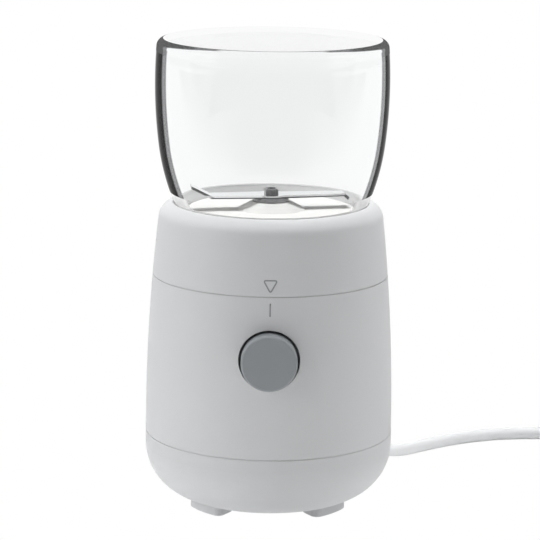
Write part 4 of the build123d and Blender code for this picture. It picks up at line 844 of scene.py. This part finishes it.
neck_bore = NECK_RADIUS - NECK_WALL
dish_low_z = jar_high.z - JAR_DISH_DEPTH
jar_section = [(0.0, dish_low_z), (JAR_DISH_RADIUS - JAR_DISH_EASE - HOLD_RING, dish_low_z)]
jar_section += [dish_point(step) for step in range(JAR_DISH_STEPS + 1)]
jar_section += [(JAR_DISH_RADIUS + HOLD_RING, jar_high.z)]
jar_section += jar_side(NECK_RADIUS, jar_high.z, 0, JAR_TOP_EDGE)
neck_top_z = jar_section[-1][1]
print("neck starts at", round(neck_top_z, 4))

# %% [markdown]
# Two ridges round the neck are the jar's thread. They are drawn in the section as plain rings, and after the
# spin the points between neck and rim are lifted in step with their angle, which turns the rings into a
# screw. Near the start of the turn the ridges fade into the neck, as a moulded thread does at its ends.

# %% Thread and rim
THREAD_RISE = 0.8 * MM
THREAD_PITCH = 2.8 * MM
THREAD_HALF_WIDTH = 0.8 * MM
THREAD_STEPS = 6
THREAD_FADE = math.radians(24)
POINT_TOLERANCE = 0.01 * MM
ridge_heights = [neck_top_z - THREAD_HALF_WIDTH - THREAD_PITCH * (turn + 0.5) for turn in range(2)]
for height in ridge_heights:
    for step in range(THREAD_STEPS + 1):
        swing = math.pi * step / THREAD_STEPS
        rise = THREAD_RISE * math.sin(swing) ** 2
        jar_section.append((NECK_RADIUS + rise, height + THREAD_HALF_WIDTH * math.cos(swing)))
thread_low_z = ridge_heights[-1] - THREAD_HALF_WIDTH - POINT_TOLERANCE
rim_corners = [(NECK_RADIUS, jar_low.z), (neck_bore, jar_low.z)]
jar_section += rounded(rim_corners[0], jar_section[-1], rim_corners[1], JAR_RIM_EDGE)
inside = jar_side(neck_bore, jar_high.z - JAR_TOP_WALL, JAR_WALL, JAR_INNER_EDGE)
jar_section += rounded(rim_corners[1], rim_corners[0], inside[-1], JAR_RIM_EDGE)
jar_section += inside[::-1] + [(0.0, jar_high.z - JAR_TOP_WALL)]

jar_bm = spin_section(jar_section)
for vert in jar_bm.verts:
    reach = math.hypot(vert.co.x, vert.co.y)
    on_neck = reach > NECK_RADIUS - POINT_TOLERANCE
    if on_neck and thread_low_z < vert.co.z < neck_top_z - POINT_TOLERANCE:
        turn = math.atan2(vert.co.y, vert.co.x)
        fade = min(1.0, (math.pi - abs(turn)) / THREAD_FADE)
        scale = (NECK_RADIUS + (reach - NECK_RADIUS) * fade) / reach
        vert.co.x, vert.co.y = vert.co.x * scale, vert.co.y * scale
        vert.co.z += THREAD_PITCH * turn / (2 * math.pi)
print("jar faces", len(jar_bm.faces))

# %% [markdown]
# The height of a face and how far it faces outward say which glass it takes. Clear glass lets nearly all
# light through, so the jar casts no shadow on the blade and the floor under it.

# %% Jar of pressed glass
JAR_PANE_DEPTH = 5.5 * MM
JAR_PANE_INNER = 3.0 * MM
JAR_CLEAR_FOOT = 6.2 * MM
JAR_PALE_FOOT = 1.6 * MM
SIDEWAYS = 0.2


def glass_at(z, outward):
    """The glass of a face, by the height of its middle and by how far it faces outward."""
    below_top, above_neck = jar_high.z - JAR_PANE_DEPTH, neck_top_z
    inner_drop = JAR_PANE_INNER if outward < 0 else 0
    if z > below_top - inner_drop and outward < SIDEWAYS:
        return pane_glass if outward > -SIDEWAYS else inner_edge_glass
    if z > below_top:
        return rounded_glass
    if z > above_neck + JAR_CLEAR_FOOT and outward > SIDEWAYS:
        return side_glass
    if z < above_neck + JAR_PALE_FOOT:
        return neck_glass
    if z < above_neck + JAR_CLEAR_FOOT:
        return foot_glass if outward > SIDEWAYS else inner_foot_glass
    return clear_glass


glasses = [clear_glass, side_glass, pane_glass, rounded_glass]
glasses += [neck_glass, foot_glass, inner_foot_glass, inner_edge_glass]
for face in jar_bm.faces:
    middle = face.calc_center_median()
    outward = (face.normal.x * middle.x + face.normal.y * middle.y) / math.hypot(middle.x, middle.y)
    face.material_index = glasses.index(glass_at(middle.z, outward))
jar_of_glass = make_piece("jar_of_glass", jar_bm, glasses, "jar", ["glass_jar"])
jar_of_glass.visible_shadow = False

# %% [markdown]
# ## Alignment marks
#
# A small open triangle on the collar and a bar under it on the housing show how the head locks. They are
# printed in grey ink. Each mark starts as a flat outline: the triangle's corners are rounded by a vertex
# bevel and an inset gives the width of the line. The points are then laid on the bowed side, and a thin
# extrusion gives the ink its body.

# %% Bowed side
BODY_RADIUS = 52.5 * MM
SIDE_ARC = 812.0 * MM
BASE_SEAM_Z = 31.3 * MM


def side_radius(z):
    """Radius of the bowed body at a height."""
    return BODY_RADIUS - SIDE_ARC + math.sqrt(SIDE_ARC**2 - (z - BASE_SEAM_Z) ** 2)


print("widest at", BASE_SEAM_Z, "with a radius of", side_radius(BASE_SEAM_Z))

# %% [markdown]
# Both marks are drawn flat and then pushed onto the side, so their lines keep an even width. The ink starts a
# little below the surface, which leaves no gap under it where the side is bowed.

# %% Printed marks
INK_RISE = 0.05 * MM
INK_ROOT = 0.15 * MM
INK_LINE = 0.55 * MM
MARK_X = 0.15 * MM
TRIANGLE_WIDTH = 6.6 * MM
TRIANGLE_TOP_Z = 106.0 * MM
TRIANGLE_TIP_Z = 100.1 * MM
TRIANGLE_CORNER = 1.5 * MM
BAR_TOP_Z = 96.4 * MM
BAR_LOW_Z = 91.1 * MM
grey_ink = moulded_plastic("grey_ink_pad_printed", "#8f9294", "#8c8f91", 0.4, 0.6)


def print_mark(name, bm, body):
    """Lays a flat mark, drawn in X and Z, on the bowed side and gives it the thickness of ink."""
    bmesh.ops.subdivide_edges(bm, edges=bm.edges, cuts=3, use_grid_fill=True)
    bmesh.ops.triangulate(bm, faces=bm.faces)
    for vert in bm.verts:
        vert.co.y = INK_ROOT - math.sqrt(side_radius(vert.co.z) ** 2 - vert.co.x**2)
    skin = bmesh.ops.extrude_face_region(bm, geom=bm.faces[:])
    lifted = [item for item in skin["geom"] if isinstance(item, bmesh.types.BMVert)]
    bmesh.ops.translate(bm, verts=lifted, vec=(0, -INK_ROOT - INK_RISE, 0))
    bmesh.ops.recalc_face_normals(bm, faces=bm.faces)
    make_piece(name, bm, [grey_ink], body)


triangle_bm = bmesh.new()
corners = [
    (MARK_X - TRIANGLE_WIDTH / 2, TRIANGLE_TOP_Z),
    (MARK_X, TRIANGLE_TIP_Z),
    (MARK_X + TRIANGLE_WIDTH / 2, TRIANGLE_TOP_Z),
]
triangle_bm.faces.new([triangle_bm.verts.new((x, 0, z)) for x, z in corners])
bmesh.ops.bevel(
    triangle_bm,
    geom=triangle_bm.verts[:],
    offset=TRIANGLE_CORNER,
    affect="VERTICES",
    segments=6,
    profile=0.5,
    material=-1,
)
rim = bmesh.ops.inset_region(
    triangle_bm, faces=triangle_bm.faces[:], thickness=INK_LINE, use_even_offset=True, use_boundary=True
)
middle = [face for face in triangle_bm.faces if face not in rim["faces"]]
bmesh.ops.delete(triangle_bm, geom=middle, context="FACES")
print_mark("triangle_mark", triangle_bm, "blade_base")

bar_bm = bmesh.new()
bar_corners = [(-1, BAR_LOW_Z), (1, BAR_LOW_Z), (1, BAR_TOP_Z), (-1, BAR_TOP_Z)]
bar_bm.faces.new([bar_bm.verts.new((MARK_X + side * INK_LINE / 2, 0, z)) for side, z in bar_corners])
print_mark("bar_mark", bar_bm, "motor_base")

# %% [markdown]
# ## Seam lips
#
# A casing's joint is seldom an open slit: one half has a thin lip behind it, and that is why a seam looks
# like a fine grey line and not like a black one. Each lip is a small closed section spun round the axis. It
# fills the gap up to a little below the surface and leaves a hair of air to the parts above and below.

# %% Seam lips
LOWER_SEAM = (31.1 * MM, 31.5 * MM)
UPPER_SEAM = (98.8 * MM, 99.2 * MM)
LOWER_RECESS = 0.12 * MM
UPPER_RECESS = 0.20 * MM
LIP_DEPTH = 0.8 * MM
LIP_AIR = 0.03 * MM


def seam_lip(name, seam, recess):
    """A lip in a seam between two heights, its face a recess below the bowed side."""
    low_z, high_z = seam[0] + LIP_AIR, seam[1] - LIP_AIR
    face = side_radius((low_z + high_z) / 2) - recess
    corners = [(face - LIP_DEPTH, low_z), (face, low_z), (face, high_z), (face - LIP_DEPTH, high_z)]
    bm = spin_section(corners + corners[:1])
    make_piece(name, bm, [housing_abs], "motor_base")


seam_lip("lower_seam_lip", LOWER_SEAM, LOWER_RECESS)
seam_lip("upper_seam_lip", UPPER_SEAM, UPPER_RECESS)

# %% [markdown]
# ## Springs
#
# A coil spring between a fixed part and a moving one gives way with the motion. Each copy here keeps the
# shape of its solid, with the doubled points of the solid's faces merged, and is set in place without riding
# on any body.

# %% Springs
Y_AXIS, Z_AXIS = 1, 2
LOW_END, HIGH_END = 0, 1


def blended_spring(name, node, axis, moving_end):
    """A copy of a spring with its doubled points merged, set in place and riding on no body."""
    bm = bmesh.new()
    bm.from_mesh(nodes[node].data)
    bmesh.ops.remove_doubles(bm, verts=bm.verts, dist=MERGE_DISTANCE)
    bmesh.ops.recalc_face_normals(bm, faces=bm.faces)
    spring = make_piece(name, bm, [spring_steel], None, [node])
    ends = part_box(node)
    start, end = Vector(), Vector()
    start[axis], end[axis] = ends[moving_end][axis], ends[1 - moving_end][axis]
    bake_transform(spring)


blended_spring("button_return_spring", "button_spring", Y_AXIS, LOW_END)
blended_spring("interlock_return_spring", "interlock_spring", Z_AXIS, HIGH_END)

# %% [markdown]
# ## Floor and light
#
# What stands in front of a packshot, where the camera is, is dark, and bare metal mirrors that. So paper and
# room both give less light from the front to rays that a mirror has turned. A Light Path node says how often
# a ray has met a glossy or a matte surface, and one recipe for both finds these rays by it.

# %% Darker front
FRONT_SHADE = 0.12


def front_shade(tree, place, front, back):
    """Brightness that falls towards the front for mirrored rays, and whether a ray lights a matte surface."""
    ray = add_node(tree, "ShaderNodeLightPath")
    mirrored, lights = [
        add_node(tree, "ShaderNodeMath", {"operation": "MINIMUM"}, {0: (ray, depth), 1: 1.0})
        for depth in ("Glossy Depth", "Diffuse Depth")
    ]
    shade = add_node(
        tree,
        "ShaderNodeMapRange",
        SOFT_STEP,
        {"Value": place, "From Min": front, "From Max": back, "To Min": FRONT_SHADE, "To Max": 1.0},
    )
    strength = add_node(
        tree,
        "ShaderNodeMix",
        {"data_type": "FLOAT"},
        {"Factor": (mirrored, "Value"), "A": 1.0, "B": (shade, "Result")},
    )
    return (strength, "Result"), (lights, "Value")


# %% [markdown]
# A packshot stands on white paper that is lit until it shows no tone of its own. Here the paper glows for
# every ray that looks at it, and only where it lights the object does it act as plain pale paper, so that it
# doesn't wash the body out from below. Close to the body, it also lights the rounded underside and the feet.

# %% Paper floor
FLOOR_SIDE = 12.0
PAPER_FRONT = (-0.5, -0.1)
PAPER_COLOUR = "#f6f6f6"
WHITE = linear("#ffffff")
PAPER_GLOW = 0.31
PAPER_GLOW_NEAR = 44 * MM
PAPER_GLOW_FAR = 72 * MM
floor_bm = bmesh.new()
bmesh.ops.create_grid(floor_bm, x_segments=1, y_segments=1, size=FLOOR_SIDE / 2)
floor_mesh = bpy.data.meshes.new("paper_floor")
floor_bm.to_mesh(floor_mesh)
floor_bm.free()
paper, paper_tree = new_material("white_paper_lit")
place = add_node(paper_tree, "ShaderNodeTexCoord")
axes = add_node(paper_tree, "ShaderNodeSeparateXYZ", inputs={"Vector": (place, "Object")})
strength, lights = front_shade(paper_tree, (axes, "Y"), *PAPER_FRONT)
glow = add_node(paper_tree, "ShaderNodeEmission", inputs={"Color": WHITE, "Strength": strength})
matte = add_node(paper_tree, "ShaderNodeBsdfDiffuse", inputs={"Color": linear(PAPER_COLOUR)})
reach = add_node(paper_tree, "ShaderNodeVectorMath", {"operation": "LENGTH"}, {0: (place, "Object")})
near = add_node(
    paper_tree,
    "ShaderNodeMapRange",
    SOFT_STEP,
    {
        "Value": (reach, "Value"),
        "From Min": PAPER_GLOW_NEAR,
        "From Max": PAPER_GLOW_FAR,
        "To Min": PAPER_GLOW,
        "To Max": 0.0,
    },
)
underlight = add_node(paper_tree, "ShaderNodeEmission", inputs={"Strength": (near, "Result")})
lit_matte = add_node(paper_tree, "ShaderNodeAddShader", inputs={0: (matte, 0), 1: (underlight, 0)})
paper_shader = add_node(
    paper_tree, "ShaderNodeMixShader", inputs={0: lights, 1: (glow, 0), 2: (lit_matte, 0)}
)
add_node(paper_tree, "ShaderNodeOutputMaterial", inputs={"Surface": (paper_shader, "Shader")})
floor_mesh.materials.append(paper)
paper_floor = bpy.data.objects.new("paper_floor", floor_mesh)
bpy.context.scene.collection.objects.link(paper_floor)

# %% [markdown]
# A large soft box hangs overhead, a strong one stands at the left and a weaker one at the right, which leaves
# the front a tone darker than the sides. Their size gives light with no hard edge. They are hidden from
# mirrored and bent rays: the photo's metal and glass show no bright squares, only the pale room.

# %% Soft boxes
LIGHT_AIM = Vector((0.0, 0.0, 0.09))
SOFT_BOXES = [
    ("left_soft_box", Vector((-1.10, -0.50, 0.55)), 0.8, 0.8, 7.6),
    ("right_soft_box", Vector((1.19, -0.24, 0.55)), 0.6, 0.8, 4.0),
    ("top_soft_box", Vector((0.0, 0.18, 1.28)), 0.5, 0.5, 16.5),
]
for name, place, width, height, watts in SOFT_BOXES:
    data = bpy.data.lights.new(name, "AREA")
    data.shape = "RECTANGLE"
    data.size, data.size_y, data.energy = width, height, watts
    light = bpy.data.objects.new(name, data)
    turn = (LIGHT_AIM - place).to_track_quat("-Z", "Y")
    light.matrix_world = Matrix.LocRotScale(place, turn, None)
    light.visible_glossy = False
    light.visible_transmission = False
    bpy.context.scene.collection.objects.link(light)
print("soft boxes", len(SOFT_BOXES))

# %% [markdown]
# The room itself is white to look at and adds only a weak fill to matte surfaces. With the standard view
# transform, the paper's full white stays full white.

# %% World
WORLD_FILL = 0.055
WORLD_FRONT = (-0.9, -0.3)
world = bpy.data.worlds.new("pale_studio")
world.use_nodes = True
tree = world.node_tree
tree.nodes.clear()
look = add_node(tree, "ShaderNodeTexCoord")
axes = add_node(tree, "ShaderNodeSeparateXYZ", inputs={"Vector": (look, "Generated")})
strength, lights = front_shade(tree, (axes, "Y"), *WORLD_FRONT)
level = add_node(
    tree,
    "ShaderNodeMix",
    {"data_type": "FLOAT"},
    {"Factor": lights, "A": strength, "B": WORLD_FILL},
)
fill = add_node(tree, "ShaderNodeBackground", inputs={"Color": WHITE, "Strength": (level, "Result")})
add_node(tree, "ShaderNodeOutputWorld", inputs={"Surface": (fill, "Background")})
bpy.context.scene.world = world
bpy.context.scene.view_settings.view_transform = "Standard"
print("world fill", WORLD_FILL)
